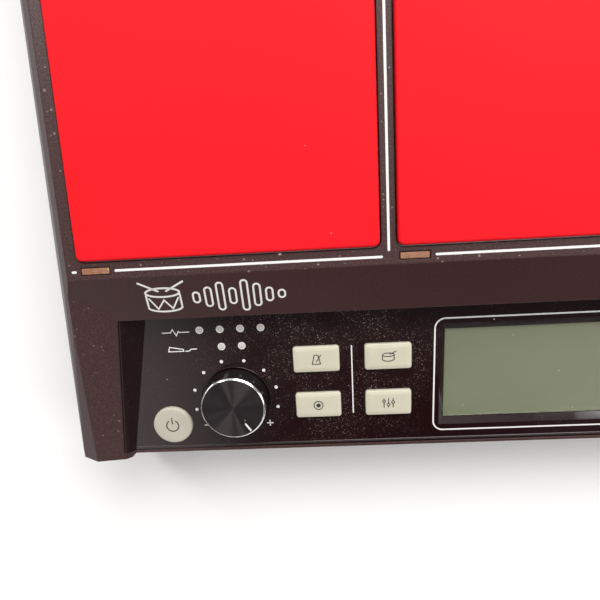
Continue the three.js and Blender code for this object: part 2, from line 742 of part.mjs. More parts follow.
function addSocketBoard() {
  let sockets = box(SOCKET_BOARD.x, SOCKET_BOARD.y, SOCKET_BOARD.z);
  const half = JACK.body / 2;
  const inner = CASE.halfDepth - REAR.wall - GAP;
  const nutY = [recessY + GAP, recessY + 2];
  jacks.forEach((x) => {
    const at = [x, JACK.axisZ];
    const body = box([x - half, x + half], [JACK.frontY, inner], [13, JACK.axisZ + half]);
    sockets = sockets.add(body).add(rodAlongY(JACK.barrel, [inner - 1, nutY[0] + 0.5], at));
    sockets = sockets.add(rodAlongY(JACK.nut, nutY, at, 6));
    const bore = [nutY[1] - JACK.boreDepth, nutY[1] + 1];
    sockets = sockets.subtract(rodAlongY(JACK.bore, bore, at));
  });
  const mouthY = [CASE.halfDepth - 18, recessY + 0.6];
  [usb, power].forEach((socket) => {
    const x = [socket.x - socket.halfWidth, socket.x + socket.halfWidth];
    sockets = sockets.add(box(x, mouthY, socket.z));
  });
  const boreY = [mouthY[0] + 4, mouthY[1] + 1];
  const [usbHalf, usbTall] = usb.bore;
  const usbMiddle = middle(usb.z);
  const usbX = [usb.x - usbHalf, usb.x + usbHalf];
  const usbBore = box(usbX, boreY, [usbMiddle - usbTall, usbMiddle + usbTall]);
  const inletBore = rodAlongY(power.bore, boreY, [power.x, middle(power.z)]);
  addPiece("jack_board", sockets.subtract(usbBore).subtract(inletBore), SOCKET_BLACK);
}

addUpperCase();
addLowerCase();
addScrewsAndFeet();
addPads();
addLightGuides();
addPadSupport();
addControlPanel();
addDisplay();
addButtons();
addKnob(-1, "volume_knob", "volume_shaft", "volume_pot");
addKnob(1, "data_dial", "data_shaft", "data_encoder");
addControlBoard();
addMainBoard();
addSocketBoard();

export default drumPad;
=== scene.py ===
"""Electronic drum pad: the visible pieces, materials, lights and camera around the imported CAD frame.

Lengths are millimetres where a name ends in _MM or a value goes through mm(), and metres elsewhere.
Panel coordinates: u to the right, v down the slope from the control panel's rear edge, n outwards.
"""

import json
import math

import bpy
from mathutils import Matrix, Vector


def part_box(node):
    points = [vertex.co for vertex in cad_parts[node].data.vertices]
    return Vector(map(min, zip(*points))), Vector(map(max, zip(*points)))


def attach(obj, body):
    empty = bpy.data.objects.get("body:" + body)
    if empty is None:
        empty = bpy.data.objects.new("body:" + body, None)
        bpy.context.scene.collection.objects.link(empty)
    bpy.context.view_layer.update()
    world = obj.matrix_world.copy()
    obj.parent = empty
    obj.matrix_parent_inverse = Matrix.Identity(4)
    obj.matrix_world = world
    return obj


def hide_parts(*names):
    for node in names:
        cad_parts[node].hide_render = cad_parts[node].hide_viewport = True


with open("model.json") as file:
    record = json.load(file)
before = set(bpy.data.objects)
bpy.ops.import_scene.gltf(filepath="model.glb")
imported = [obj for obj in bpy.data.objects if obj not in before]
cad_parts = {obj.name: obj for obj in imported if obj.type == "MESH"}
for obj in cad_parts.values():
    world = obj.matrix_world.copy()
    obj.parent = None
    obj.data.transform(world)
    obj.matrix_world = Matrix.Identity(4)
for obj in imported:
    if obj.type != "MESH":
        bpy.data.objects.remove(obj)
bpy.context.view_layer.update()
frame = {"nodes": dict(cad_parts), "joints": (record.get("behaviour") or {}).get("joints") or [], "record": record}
NODES = frame["nodes"]
JOINTS = {joint["name"]: joint for joint in frame["joints"]}
SCENE = bpy.context.scene
RIGHT = Vector((1, 0, 0))


def mm(*values):
    """Millimetres to metres: one number, or several as a tuple."""
    scaled = tuple(value / 1000 for value in values)
    return scaled[0] if len(scaled) == 1 else scaled


# ---------- places taken from the frame ----------

CASE_BODY, PAD_COUNT = "case", 8
KNOB_U_MM, KNOB_V_MM = 123.4, 38.9
DECK_BEFORE_PADS_MM = 6.8
BROW_DROP_MM, BROW_RUN_MM = 6.47, 17.9
REAR_RECESS_MM = 2.5

PANEL_NORMAL = Vector(JOINTS["volume_turn"]["axis"]).normalized()
UP_SLOPE = PANEL_NORMAL.cross(RIGHT)
KNOB_FOOT = Vector(JOINTS["volume_turn"]["pos_m"])


def axes_matrix(x_axis, y_axis, z_axis, origin):
    """A matrix that takes local x, y, z to those directions, with its origin there."""
    turn = Matrix((x_axis, y_axis, z_axis)).transposed().to_4x4()
    return Matrix.Translation(origin) @ turn


PANEL_ORIGIN = KNOB_FOOT + UP_SLOPE * mm(KNOB_V_MM) - RIGHT * KNOB_FOOT.x
PANEL = axes_matrix(RIGHT, UP_SLOPE, PANEL_NORMAL, PANEL_ORIGIN)


def on_panel(u, v, n=0.0):
    """The matrix of a place on the control panel; local y runs up the slope."""
    return PANEL @ Matrix.Translation(Vector(mm(u, -v, n)))


FRONT_PAD_LOW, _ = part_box("pad_1")
DECK_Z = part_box("light_guide_front")[1].z
BROW_ANGLE = math.atan2(BROW_DROP_MM, BROW_RUN_MM)
BROW_TOP_Y = FRONT_PAD_LOW.y - mm(DECK_BEFORE_PADS_MM)
BROW = axes_matrix(
    RIGHT,
    Vector((0, math.cos(BROW_ANGLE), math.sin(BROW_ANGLE))),
    Vector((0, -math.sin(BROW_ANGLE), math.cos(BROW_ANGLE))),
    Vector((0, BROW_TOP_Y, DECK_Z)),
)
DECK = Matrix.Translation((0, 0, DECK_Z))
REAR_FACE_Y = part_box("lower_case")[1].y - mm(REAR_RECESS_MM)


# ---------- camera: close over the front left corner ----------

CAMERA_PLACE_MM = (-85.1, -70.0, 227.8)
CAMERA_TURN_DEG = (-9.92, 2.12, -3.11)
SENSOR_MM, LENS_MM = 36, 27.06


def make_camera():
    data = bpy.data.cameras.new("camera")
    data.sensor_width = SENSOR_MM
    data.lens = LENS_MM
    data.clip_start = 0.01
    camera = bpy.data.objects.new("camera", data)
    camera.location = mm(*CAMERA_PLACE_MM)
    camera.rotation_euler = [math.radians(a) for a in CAMERA_TURN_DEG]
    SCENE.collection.objects.link(camera)
    SCENE.camera = camera


make_camera()

# ---------- materials ----------


class Look:
    """A node material in the making: its tree, its Principled shader, and short ways to add nodes."""

    def __init__(self, name, colour, roughness, metallic=0.0, **constants):
        self.material = bpy.data.materials.new(name)
        self.material.use_nodes = True
        self.tree = self.material.node_tree
        self.shader = self.tree.nodes["Principled BSDF"]
        self.set("Base Color", (*colour, 1))
        self.set("Roughness", roughness)
        self.set("Metallic", metallic)
        for socket, value in constants.items():
            self.set(socket.replace("_", " ").title().replace("Ior", "IOR"), value)
        self.place = self.add("ShaderNodeTexCoord").outputs["Object"]
        self.height = None

    def set(self, socket, value):
        self.shader.inputs[socket].default_value = value

    def add(self, kind, **settings):
        node = self.tree.nodes.new(kind)
        for key, value in settings.items():
            setattr(node, key, value)
        return node

    def link(self, source, target):
        self.tree.links.new(source, target)

    def noise(self, scale, detail=2.0, rough=0.5, stretch=None):
        node = self.add("ShaderNodeTexNoise")
        node.inputs["Scale"].default_value = scale
        node.inputs["Detail"].default_value = detail
        node.inputs["Roughness"].default_value = rough
        self.link(self.stretched(stretch), node.inputs["Vector"])
        return node.outputs["Fac"]

    def stretched(self, stretch):
        if stretch is None:
            return self.place
        node = self.add("ShaderNodeMapping")
        node.inputs["Scale"].default_value = stretch
        self.link(self.place, node.inputs["Vector"])
        return node.outputs["Vector"]

    def spread(self, value, low, high, to_low=0.0, to_high=1.0):
        """The value's stretch from low to high, laid out from to_low to to_high."""
        node = self.add("ShaderNodeMapRange")
        self.link(value, node.inputs["Value"])
        numbers = {"From Min": low, "From Max": high, "To Min": to_low, "To Max": to_high}
        for socket, number in numbers.items():
            node.inputs[socket].default_value = number
        return node.outputs["Result"]

    def maths(self, operation, first, second):
        node = self.add("ShaderNodeMath", operation=operation)
        for socket, value in zip(node.inputs, (first, second)):
            if isinstance(value, (int, float)):
                socket.default_value = value
            else:
                self.link(value, socket)
        return node.outputs[0]

    def mixed(self, factor, first, second):
        """A colour between two; each is a colour or an output."""
        node = self.add("ShaderNodeMix", data_type="RGBA")
        self.link(factor, node.inputs["Factor"])
        for socket, value in zip((node.inputs[6], node.inputs[7]), (first, second)):
            if isinstance(value, tuple):
                socket.default_value = (*value, 1)
            else:
                self.link(value, socket)
        return node.outputs[2]

    def colour(self, output):
        self.link(output, self.shader.inputs["Base Color"])

    def roughness(self, output):
        self.link(output, self.shader.inputs["Roughness"])

    def bump(self, height, distance_mm, strength=1.0):
        """Adds a layer of relief over those before it."""
        node = self.add("ShaderNodeBump")
        node.inputs["Strength"].default_value = strength
        node.inputs["Distance"].default_value = mm(distance_mm)
        self.link(height, node.inputs["Height"])
        if self.height is not None:
            self.link(self.height, node.inputs["Normal"])
        self.height = node.outputs["Normal"]
        self.link(self.height, self.shader.inputs["Normal"])

    def specks(self, cells, share, size):
        """A mask of round specks: cells per metre, the share of cells with one, its size in cells."""
        node = self.add("ShaderNodeTexVoronoi")
        node.inputs["Scale"].default_value = cells
        self.link(self.place, node.inputs["Vector"])
        split = self.add("ShaderNodeSeparateColor")
        self.link(node.outputs["Color"], split.inputs[0])
        chosen = self.maths("LESS_THAN", split.outputs[0], share)
        radius = self.maths("MULTIPLY", split.outputs[1], size)
        inside = self.maths("LESS_THAN", node.outputs["Distance"], radius)
        return self.maths("MULTIPLY", chosen, inside)


def case_plastic(name, base, light, level_dust_and_sheen=1.0):
    """Spark-textured moulded plastic, with painted glints in its grain, and where a face lies level a lighter film
    and specks that are partly fine dust and partly painted sheen.
    """
    look = Look(name, base, 0.42, specular_ior_level=0.36)
    grain = look.noise(1500, 2, 0.55)
    cloud = look.noise(9, 4, 0.6)
    tint = look.mixed(look.spread(cloud, 0.35, 0.7), base, light)
    # Painted glints: brighter grain specks mixed into the colour stand in for light catching the spark texture.
    painted_glint = look.spread(grain, 0.52, 0.76, 0, 0.4)
    tint = look.mixed(painted_glint, tint, tuple(c * 2.4 for c in light))
    # Level faces get a lighter film and lighter specks: partly fine dust, partly painted sheen that makes the
    # level deck lighter than the slopes.
    upright = look.add("ShaderNodeSeparateXYZ")
    look.link(look.add("ShaderNodeNewGeometry").outputs["Normal"], upright.inputs[0])
    level = look.spread(upright.outputs["Z"], 0.955, 0.995, 0.0, level_dust_and_sheen)
    film = look.maths("MULTIPLY", level, look.spread(grain, 0.4, 0.7, 0.03, 0.3))
    tint = look.mixed(film, tint, (0.15, 0.11, 0.1))
    sparks = look.maths("MULTIPLY", look.specks(620, 0.2, 0.32), level)
    tint = look.mixed(look.maths("MULTIPLY", sparks, 0.7), tint, (0.28, 0.22, 0.19))
    dust = look.specks(150, 0.13, 0.12)
    look.colour(look.mixed(dust, tint, (0.5, 0.44, 0.36)))
    look.roughness(look.spread(grain, 0.3, 0.7, 0.5, 0.36))
    look.bump(grain, 0.05, 0.6)
    return look.material


def panel_gloss():
    """Polished reddish black moulding, dusty behind the knob, with faint wiping marks."""
    base = (0.0118, 0.003, 0.0036)
    look = Look("panel_gloss", base, 0.09)
    dustiest = PANEL @ Vector(mm(-84, -14, 0))
    reach = look.add("ShaderNodeVectorMath", operation="DISTANCE")
    look.link(look.place, reach.inputs[0])
    reach.inputs[1].default_value = dustiest
    thick = look.spread(reach.outputs["Value"], 0.012, 0.06, 1.0, 0.1)
    patches = look.spread(look.noise(60, 3, 0.6), 0.36, 0.64, 0.1, 1.0)
    amount = look.maths("MULTIPLY", thick, patches)
    tint = look.mixed(look.maths("MULTIPLY", amount, 0.035), base, (0.3, 0.24, 0.22))
    dusty = None
    layers = ((1700, 0.7, 0.4, 0.4), (1100, 0.4, 0.3, 0.7), (560, 0.2, 0.16, 1.0))
    for cells, share, size, strength in layers:
        layer = look.maths("MULTIPLY", look.specks(cells, share, size), amount)
        tint = look.mixed(look.maths("MULTIPLY", layer, strength), tint, (0.42, 0.34, 0.31))
        dusty = layer if dusty is None else look.maths("MAXIMUM", dusty, layer)
    strays = look.specks(190, 0.14, 0.1)
    look.colour(look.mixed(strays, tint, (0.45, 0.38, 0.34)))
    wiped = look.noise(55, 4, 0.65, (1, 0.25, 1))
    film = look.spread(wiped, 0.45, 0.75, 0.05, 0.16)
    rough = look.maths("MULTIPLY", look.maths("MAXIMUM", dusty, strays), 0.8)
    look.roughness(look.maths("MAXIMUM", film, rough))
    return look.material


def pad_rubber():
    """Smooth red rubber with a very fine grain and slightly worn, duller patches where sticks land."""
    base = (0.77, 0.0052, 0.0108)
    look = Look("pad_rubber", base, 0.62, specular_ior_level=0.14)
    cloud = look.noise(14, 4, 0.55)
    tint = look.mixed(look.spread(cloud, 0.3, 0.75), base, (0.74, 0.0068, 0.0145))
    dust = look.specks(130, 0.07, 0.075)
    tint = look.mixed(look.maths("MULTIPLY", dust, 0.35), tint, (0.85, 0.25, 0.25))
    look.colour(tint)
    grain = look.noise(2600, 2, 0.6)
    look.roughness(look.spread(cloud, 0.3, 0.7, 0.56, 0.68))
    look.bump(grain, 0.02, 0.35)
    return look.material


def ivory_plastic(name, base):
    """Pale moulded keys with a few darker specks."""
    look = Look(name, base, 0.42)
    cloud = look.noise(120, 3, 0.5)
    tint = look.mixed(look.spread(cloud, 0.3, 0.7), base, tuple(c * 1.06 for c in base))
    look.colour(look.mixed(look.specks(420, 0.1, 0.1), tint, (0.36, 0.33, 0.27)))
    grain = look.noise(2400, 2, 0.5)
    look.roughness(look.spread(grain, 0.3, 0.7, 0.38, 0.5))
    look.bump(grain, 0.012, 0.4)
    return look.material


def spun_metal():
    """The knob's dark face: fine rings cut about its axis, so that light spreads in a fan."""
    base = (0.052, 0.043, 0.045)
    look = Look("knob_metal", base, 0.38, 1.0, anisotropic=1.0, anisotropic_rotation=0.25)
    tangent = look.add("ShaderNodeTangent", direction_type="RADIAL", axis="Z")
    look.link(tangent.outputs[0], look.shader.inputs["Tangent"])
    split = look.add("ShaderNodeSeparateXYZ")
    look.link(look.place, split.inputs[0])
    squares = [look.maths("MULTIPLY", split.outputs[i], split.outputs[i]) for i in (0, 1)]
    radius = look.maths("SQRT", look.maths("ADD", *squares), 0.0)
    rings = look.add("ShaderNodeTexNoise", noise_dimensions="1D")
    rings.inputs["Scale"].default_value = 3400
    rings.inputs["Detail"].default_value = 2
    look.link(radius, rings.inputs["W"])
    cut = rings.outputs["Fac"]
    tint = look.mixed(look.spread(cut, 0.3, 0.7), base, (0.064, 0.054, 0.056))
    look.colour(look.mixed(look.specks(230, 0.16, 0.13), tint, (0.35, 0.31, 0.29)))
    look.roughness(look.spread(cut, 0.3, 0.7, 0.35, 0.41))
    return look.material


def plain_metal(name, base, rough, grain_scale=700, grain_mm=0.006):
    look = Look(name, base, rough, 1.0)
    grain = look.noise(grain_scale, 3, 0.6)
    look.colour(look.mixed(look.spread(grain, 0.3, 0.7), base, tuple(c * 0.86 for c in base)))
    look.roughness(look.spread(grain, 0.3, 0.7, rough * 0.8, rough * 1.25))
    look.bump(grain, grain_mm, 0.5)
    return look.material


def plain_plastic(name, base, rough, grain_scale=1500, grain_mm=0.02, **constants):
    look = Look(name, base, rough, **constants)
    grain = look.noise(grain_scale, 3, 0.6)
    look.colour(look.mixed(look.spread(grain, 0.35, 0.65), base, tuple(c * 0.88 for c in base)))
    look.roughness(look.spread(grain, 0.3, 0.7, rough * 0.9, min(1, rough * 1.12)))
    look.bump(grain, grain_mm, 0.4)
    return look.material


DOT_PITCH_M, DOT_GAP_M = 0.00055, 0.00003


def lcd_face():
    """The display's reflective face: grey-green, with its faint grid of dots."""
    # Painted light: the base is lighter than the face's own colour, standing in for the light the glass window
    # keeps from it.
    base = (0.375, 0.388, 0.275)
    look = Look("lcd_face", base, 0.38)
    grid = look.add("ShaderNodeTexBrick", offset=0.0)
    look.link(look.place, grid.inputs["Vector"])
    grid.inputs["Scale"].default_value = 1.0
    grid.inputs["Brick Width"].default_value = DOT_PITCH_M
    grid.inputs["Row Height"].default_value = DOT_PITCH_M
    grid.inputs["Mortar Size"].default_value = DOT_GAP_M
    shade = look.noise(18, 2, 0.5)
    tint = look.mixed(look.spread(shade, 0.3, 0.7), base, (0.41, 0.42, 0.31))
    lines = look.maths("MULTIPLY", grid.outputs["Fac"], 0.12)
    look.colour(look.mixed(lines, tint, (0.25, 0.26, 0.18)))
    look.roughness(look.spread(shade, 0.3, 0.7, 0.34, 0.42))
    return look.material


def window_glass():
    """The clear display window, smeared a little and dusty."""
    look = Look("display_glass", (0.93, 0.95, 0.9), 0.03, transmission_weight=1.0, ior=1.49)
    smear = look.noise(40, 3, 0.6)
    dust = look.specks(300, 0.2, 0.12)
    look.roughness(look.maths("MAXIMUM", look.spread(smear, 0.4, 0.75, 0.02, 0.07), dust))
    return look.material


def amber_plastic():
    """Milky amber light guides."""
    base = (0.25, 0.105, 0.055)
    look = Look("light_amber", base, 0.3, subsurface_weight=0.3, subsurface_scale=0.001)
    cloud = look.noise(700, 2, 0.5)
    tint = look.mixed(look.spread(cloud, 0.3, 0.7), base, (0.35, 0.18, 0.11))
    look.colour(look.mixed(look.specks(900, 0.35, 0.3), tint, (0.62, 0.48, 0.38)))
    look.roughness(look.spread(cloud, 0.3, 0.7, 0.26, 0.36))
    return look.material


def board_laminate():
    """Green circuit board with a net of tracks."""
    base = (0.012, 0.1, 0.05)
    look = Look("board_laminate", base, 0.3)
    tracks = look.add("ShaderNodeTexVoronoi", feature="DISTANCE_TO_EDGE")
    tracks.inputs["Scale"].default_value = 220
    look.link(look.place, tracks.inputs["Vector"])
    edge = look.spread(tracks.outputs["Distance"], 0.02, 0.06, 1, 0)
    look.colour(look.mixed(edge, base, (0.02, 0.16, 0.08)))
    look.bump(edge, 0.03, 0.6)
    return look.material


CASE_PLASTIC = case_plastic("case_plastic", (0.031, 0.0078, 0.0082), (0.038, 0.0105, 0.0108))
BASE_PLASTIC = case_plastic("base_plastic", (0.014, 0.008, 0.008), (0.02, 0.012, 0.012), 0.0)
PANEL_GLOSS = panel_gloss()
PAD_RUBBER = pad_rubber()
BEAD_GLOSS = plain_plastic("bead_gloss", (0.02, 0.009, 0.009), 0.24, 900, 0.003)
IVORY = ivory_plastic("button_ivory", (0.545, 0.515, 0.40))
IVORY_DULL = ivory_plastic("power_ivory", (0.445, 0.425, 0.345))
SPUN_METAL = spun_metal()
KNOB_SIDE = plain_plastic("knob_side", (0.012, 0.009, 0.0095), 0.12, 800, 0.002)
BRIGHT_CUT = plain_metal("bright_cut", (0.86, 0.85, 0.86), 0.14, 1200, 0.002)
STEEL = plain_metal("steel", (0.5, 0.5, 0.5), 0.34)
NICKEL = plain_metal("nickel", (0.62, 0.6, 0.57), 0.24)
BRASS = plain_metal("brass", (0.7, 0.5, 0.2), 0.3)
WHITE_INK = plain_plastic("white_ink", (0.80, 0.79, 0.77), 0.5, 3000, 0.004)
DARK_INK = plain_plastic("dark_ink", (0.03, 0.03, 0.034), 0.5, 3000, 0.004)
LENS_WHITE = plain_plastic("lens_white", (0.6, 0.57, 0.53), 0.28, 900, 0.004)
SOCKET_BLACK = plain_plastic("socket_plastic", (0.018, 0.018, 0.019), 0.42)
FOOT_RUBBER = plain_plastic("foot_rubber", (0.02, 0.02, 0.02), 0.85, 1200, 0.06)
FOAM = plain_plastic("foam", (0.05, 0.05, 0.055), 0.95, 1600, 0.2)
LCD_FACE = lcd_face()
GLASS = window_glass()
AMBER = amber_plastic()
BOARD = board_laminate()

# ---------- mesh tools ----------


def add_piece(name, verts_mm, faces, matrix, body, material, smooth_deg=35.0):
    """A closed mesh, given in millimetres in its own axes, as a piece that rides on a body."""
    mesh = bpy.data.meshes.new(name)
    mesh.from_pydata([mm(*v) for v in verts_mm], [], faces)
    mesh.validate()
    mesh.shade_smooth()
    mesh.set_sharp_from_angle(angle=math.radians(smooth_deg))
    mesh.materials.append(material)
    piece = bpy.data.objects.new(name, mesh)
    SCENE.collection.objects.link(piece)
    piece.matrix_world = matrix
    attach(piece, body)
    return piece


def merged(parts):
    """Several (vertices, faces) as one."""
    verts, faces = [], []
    for part_verts, part_faces in parts:
        start = len(verts)
        verts.extend(part_verts)
        faces.extend(tuple(i + start for i in face) for face in part_faces)
    return verts, faces


def stacked(rings):
    """A closed form through equally long rings, anticlockwise from above, from the bottom up."""
    count = len(rings[0])
    verts = [p for ring in rings for p in ring]
    faces = [tuple(reversed(range(count)))]
    for level in range(len(rings) - 1):
        low, high = level * count, (level + 1) * count
        for i in range(count):
            j = (i + 1) % count
            faces.append((low + i, low + j, high + j, high + i))
    faces.append(tuple(range(len(verts) - count, len(verts))))
    return verts, faces


def angles(count, start=0.0, end=360.0):
    """Angles in radians; a full turn leaves out the repeated last one."""
    whole = end - start >= 360
    steps = count if whole else count - 1
    return [math.radians(start + (end - start) * i / steps) for i in range(count)]


def rounded_outline(half_x, half_y, corner, steps=6):
    """The points of a rounded rectangle about the origin, anticlockwise."""
    points = []
    for quarter, (sx, sy) in enumerate(((1, -1), (1, 1), (-1, 1), (-1, -1))):
        for step in range(steps + 1):
            a = math.radians(90) * (quarter - 1 + step / steps)
            x = sx * (half_x - corner) + corner * math.cos(a)
            y = sy * (half_y - corner) + corner * math.sin(a)
            points.append((x, y))
    return points


def rounded_ring(half_x, half_y, corner, inset, z, steps=6):
    """A rounded rectangle drawn in by inset, at height z."""
    outline = rounded_outline(half_x - inset, half_y - inset, max(corner - inset, 0.05), steps)
    return [(x, y, z) for x, y in outline]


def fillet_levels(top, radius, steps=5):
    """(inset, z) pairs that round a top edge."""
    angles = [math.radians(90) * i / steps for i in range(steps + 1)]
    return [(radius * (1 - math.cos(a)), top - radius * (1 - math.sin(a))) for a in angles]


def lathed(profile, segments):
    """A closed form from (radius, z) points that start and end on the axis, bottom first."""
    verts, rings = [], []
    for r, z in profile:
        if r == 0:
            rings.append([len(verts)] * segments)
            verts.append((0, 0, z))
            continue
        rings.append(list(range(len(verts), len(verts) + segments)))
        for i in range(segments):
            a = math.tau * i / segments
            verts.append((r * math.cos(a), r * math.sin(a), z))
    faces = []
    for low, high in zip(rings, rings[1:]):
        for i in range(segments):
            j = (i + 1) % segments
            face = []
            for index in (low[i], low[j], high[j], high[i]):
                if index not in face:
                    face.append(index)
            if len(face) > 2:
                faces.append(tuple(face))
    return verts, faces


def hollow_ring(outer, inner, z0, z1, segments, edge=0.2):
    """A ring with softened edges about z, closed on itself."""
    section = [(inner, z0), (outer, z0), (outer, z1 - edge), (outer - edge, z1)]
    section += [(inner + edge, z1), (inner, z1 - edge)]
    verts = []
    for i in range(segments):
        a = math.tau * i / segments
        verts.extend((r * math.cos(a), r * math.sin(a), z) for r, z in section)
    count = len(section)
    faces = []
    for i in range(segments):
        here, there = i * count, ((i + 1) % segments) * count
        for k in range(count):
            j = (k + 1) % count
            faces.append((here + k, there + k, there + j, here + j))
    return verts, faces


# ---------- printed marks ----------

INK_LOW_MM, INK_HIGH_MM = -0.02, 0.05


def signed_area(points):
    """The area inside an outline, positive when it runs anticlockwise."""
    turns = zip(points, points[1:] + points[:1])
    return sum(x0 * y1 - x1 * y0 for (x0, y0), (x1, y1) in turns) / 2


def plate_of(points):
    """A thin closed plate over one outline."""
    if signed_area(points) < 0:
        points = points[::-1]
    return stacked([[(x, y, z) for x, y in points] for z in (INK_LOW_MM, INK_HIGH_MM)])


def ring_of(outer, inner):
    """A thin closed band between two outlines with equally many points."""
    if signed_area(outer) < 0:
        outer, inner = outer[::-1], inner[::-1]
    count = len(outer)
    low_z, high_z = INK_LOW_MM, INK_HIGH_MM
    loops = [(outer, low_z), (outer, high_z), (inner, high_z), (inner, low_z)]
    verts = [(x, y, z) for loop, z in loops for x, y in loop]
    faces = []
    for level in range(4):
        low, high = level * count, ((level + 1) % 4) * count
        for i in range(count):
            j = (i + 1) % count
            faces.append((low + i, low + j, high + j, high + i))
    return verts, faces


def offset_side(points, distance, closed):
    """Each point moved sideways, with mitred corners."""
    moved = []
    count = len(points)
    for i, point in enumerate(points):
        before = points[i - 1] if closed or i > 0 else None
        after = points[(i + 1) % count] if closed or i < count - 1 else None
        here = Vector(point)
        into = (here - Vector(before)).normalized() if before else None
        out = (Vector(after) - here).normalized() if after else None
        into, out = into or out, out or into
        side = Vector((-(into + out).y, (into + out).x)).normalized()
        stretch = min(2.0, 1 / max(0.3, side.dot(Vector((-into.y, into.x)))))
        shifted = here + side * distance * stretch
        moved.append((shifted.x, shifted.y))
    return moved


def arc(centre, radius, start_deg, end_deg, steps=24):
    """Points along an arc; a full turn leaves out the repeated last point."""
    whole = abs(end_deg - start_deg) >= 359.99
    count = steps if whole else steps + 1
    points = []
    for i in range(count):
        a = math.radians(start_deg + (end_deg - start_deg) * i / steps)
        points.append((centre[0] + radius * math.cos(a), centre[1] + radius * math.sin(a)))
    return points


def line(points, width):
    """An open printed line with round ends."""
    left = offset_side(points, width / 2, False)
    right = offset_side(points, -width / 2, False)
    end_turn = Vector(points[-1]) - Vector(points[-2])
    start_turn = Vector(points[1]) - Vector(points[0])
    end_deg = math.degrees(math.atan2(end_turn.y, end_turn.x))
    start_deg = math.degrees(math.atan2(start_turn.y, start_turn.x))
    end_cap = arc(points[-1], width / 2, end_deg - 90, end_deg + 90, 8)[1:-1]
    start_cap = arc(points[0], width / 2, start_deg + 90, start_deg + 270, 8)[1:-1]
    return plate_of(right + end_cap + left[::-1] + start_cap)


def loop(points, width):
    """A closed printed line."""
    return ring_of(offset_side(points, width / 2, True), offset_side(points, -width / 2, True))


def disc(centre, radius, steps=24):
    return plate_of(arc(centre, radius, 0, 360, steps))


def circle(centre, radius, width, steps=32):
    return loop(arc(centre, radius, 0, 360, steps), width)


def moved_outline(points, dx, dy):
    return [(x + dx, y + dy) for x, y in points]


def ink(name, marks, matrix, body, material):
    verts, faces = merged(marks)
    return add_piece(name, verts, faces, matrix, body, material)


# ---------- CAD nodes that stay, with rounded edges ----------


def dress(node, material, edge_mm=0.0, limit_deg=20.0):
    """Gives a CAD node its material and, with modifiers only, a small round on its edges."""
    piece = NODES[node]
    mesh = piece.data
    mesh.materials.clear()
    mesh.materials.append(material)
    if "custom_normal" in mesh.attributes:
        mesh.attributes.remove(mesh.attributes["custom_normal"])
    mesh.shade_flat()
    if not edge_mm:
        return
    weld = piece.modifiers.new("weld", "WELD")
    weld.merge_threshold = mm(0.004)
    flat = piece.modifiers.new("flat", "DECIMATE")
    flat.decimate_type = "DISSOLVE"
    flat.angle_limit = math.radians(0.5)
    bevel = piece.modifiers.new("edges", "BEVEL")
    bevel.width = mm(edge_mm)
    bevel.segments = 3
    bevel.limit_method = "ANGLE"
    bevel.angle_limit = math.radians(limit_deg)
    bevel.use_clamp_overlap = False
    bevel.loop_slide = False
    bevel.harden_normals = True
    mesh.shade_smooth()


def dress_frame():
    dress("upper_case", CASE_PLASTIC, 0.35, 7.0)
    dress("lower_case", BASE_PLASTIC, 0.4, 25.0)
    dress("control_panel", PANEL_GLOSS)
    for row in ("front", "middle", "rear"):
        dress(f"light_guide_{row}", AMBER, 0.15)
    dress("display_window", GLASS)
    dress("display_module", LCD_FACE)
    dress("foam_sheet", FOAM)
    dress("pad_chassis", STEEL)
    dress("jack_board", SOCKET_BLACK, 0.15, 40.0)
    for board in ("control_board", "main_board"):
        dress(board, BOARD)
    for name in ("volume_shaft", "volume_pot", "data_shaft", "data_encoder"):
        dress(name, STEEL)
    for i in range(1, PAD_COUNT + 1):
        dress(f"pad_plate_{i}", STEEL)
        dress(f"pad_sensor_{i}", BRASS)


# ---------- playing pads and what is printed round them ----------

PAD_CORNER_MM, PAD_FILLET_MM = 2.5, 1.0
PAD_ROWS = (("pad_1", "pad_2", "pad_3"), ("pad_4", "pad_5", "pad_6"), ("pad_7", "pad_8"))
LINE_MM = 0.92
FRONT_LINE_AHEAD_MM = 3.82
WINDOW_END_MM, LINE_PAST_PAD_MM = 13.6, 1.0
UPRIGHT_AHEAD_MM, UPRIGHT_SHORT_MM = 1.4, 2.6
DASH_FROM_MM, DASH_TO_MM = 2.4, 1.4


def make_pads():
    for name in sum(PAD_ROWS, ()):
        low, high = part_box(name)
        centre = (low + high) / 2
        half_x, half_y, rise = [(high[i] - low[i]) * 500 for i in range(3)]
        levels = [(0.35, -rise), (0.0, -rise + 0.35), *fillet_levels(rise, PAD_FILLET_MM)]
        levels += [(PAD_FILLET_MM + 0.5, rise), (PAD_FILLET_MM + 2.0, rise)]
        rings = [rounded_ring(half_x, half_y, PAD_CORNER_MM, inset, z, 8) for inset, z in levels]
        verts, faces = stacked(rings)
        matrix = Matrix.Translation(centre)
        pad = add_piece(f"{name}_rubber", verts, faces, matrix, CASE_BODY, PAD_RUBBER)
        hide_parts(name)


def pad_edges(name):
    """A pad's left, right, front and rear in millimetres."""
    low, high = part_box(name)
    return low.x * 1000, high.x * 1000, low.y * 1000, high.y * 1000


def print_deck():
    """White lines between the pads, each row's broken by its amber windows, with a dash before it."""
    gap = pad_edges("pad_2")[0] - pad_edges("pad_1")[1]
    marks = []
    for row in PAD_ROWS:
        front, rear = pad_edges(row[0])[2:]
        line_y = front - (FRONT_LINE_AHEAD_MM if row is PAD_ROWS[0] else gap / 2)
        for name in row:
            left, right = pad_edges(name)[:2]
            start = left + WINDOW_END_MM + LINE_MM / 2
            end = right + LINE_PAST_PAD_MM - LINE_MM / 2
            marks.append(line([(start, line_y), (end, line_y)], LINE_MM))
        for name in row[1:]:
            x = pad_edges(name)[0] - gap / 2
            ends = [(x, front - UPRIGHT_AHEAD_MM), (x, rear + gap / 2 - UPRIGHT_SHORT_MM)]
            marks.append(line(ends, LINE_MM))
        left = pad_edges(row[0])[0]
        marks.append(line([(left - DASH_FROM_MM, line_y), (left - DASH_TO_MM, line_y)], LINE_MM))
    ink("deck_print", marks, DECK, CASE_BODY, WHITE_INK)


# ---------- brow pictogram ----------

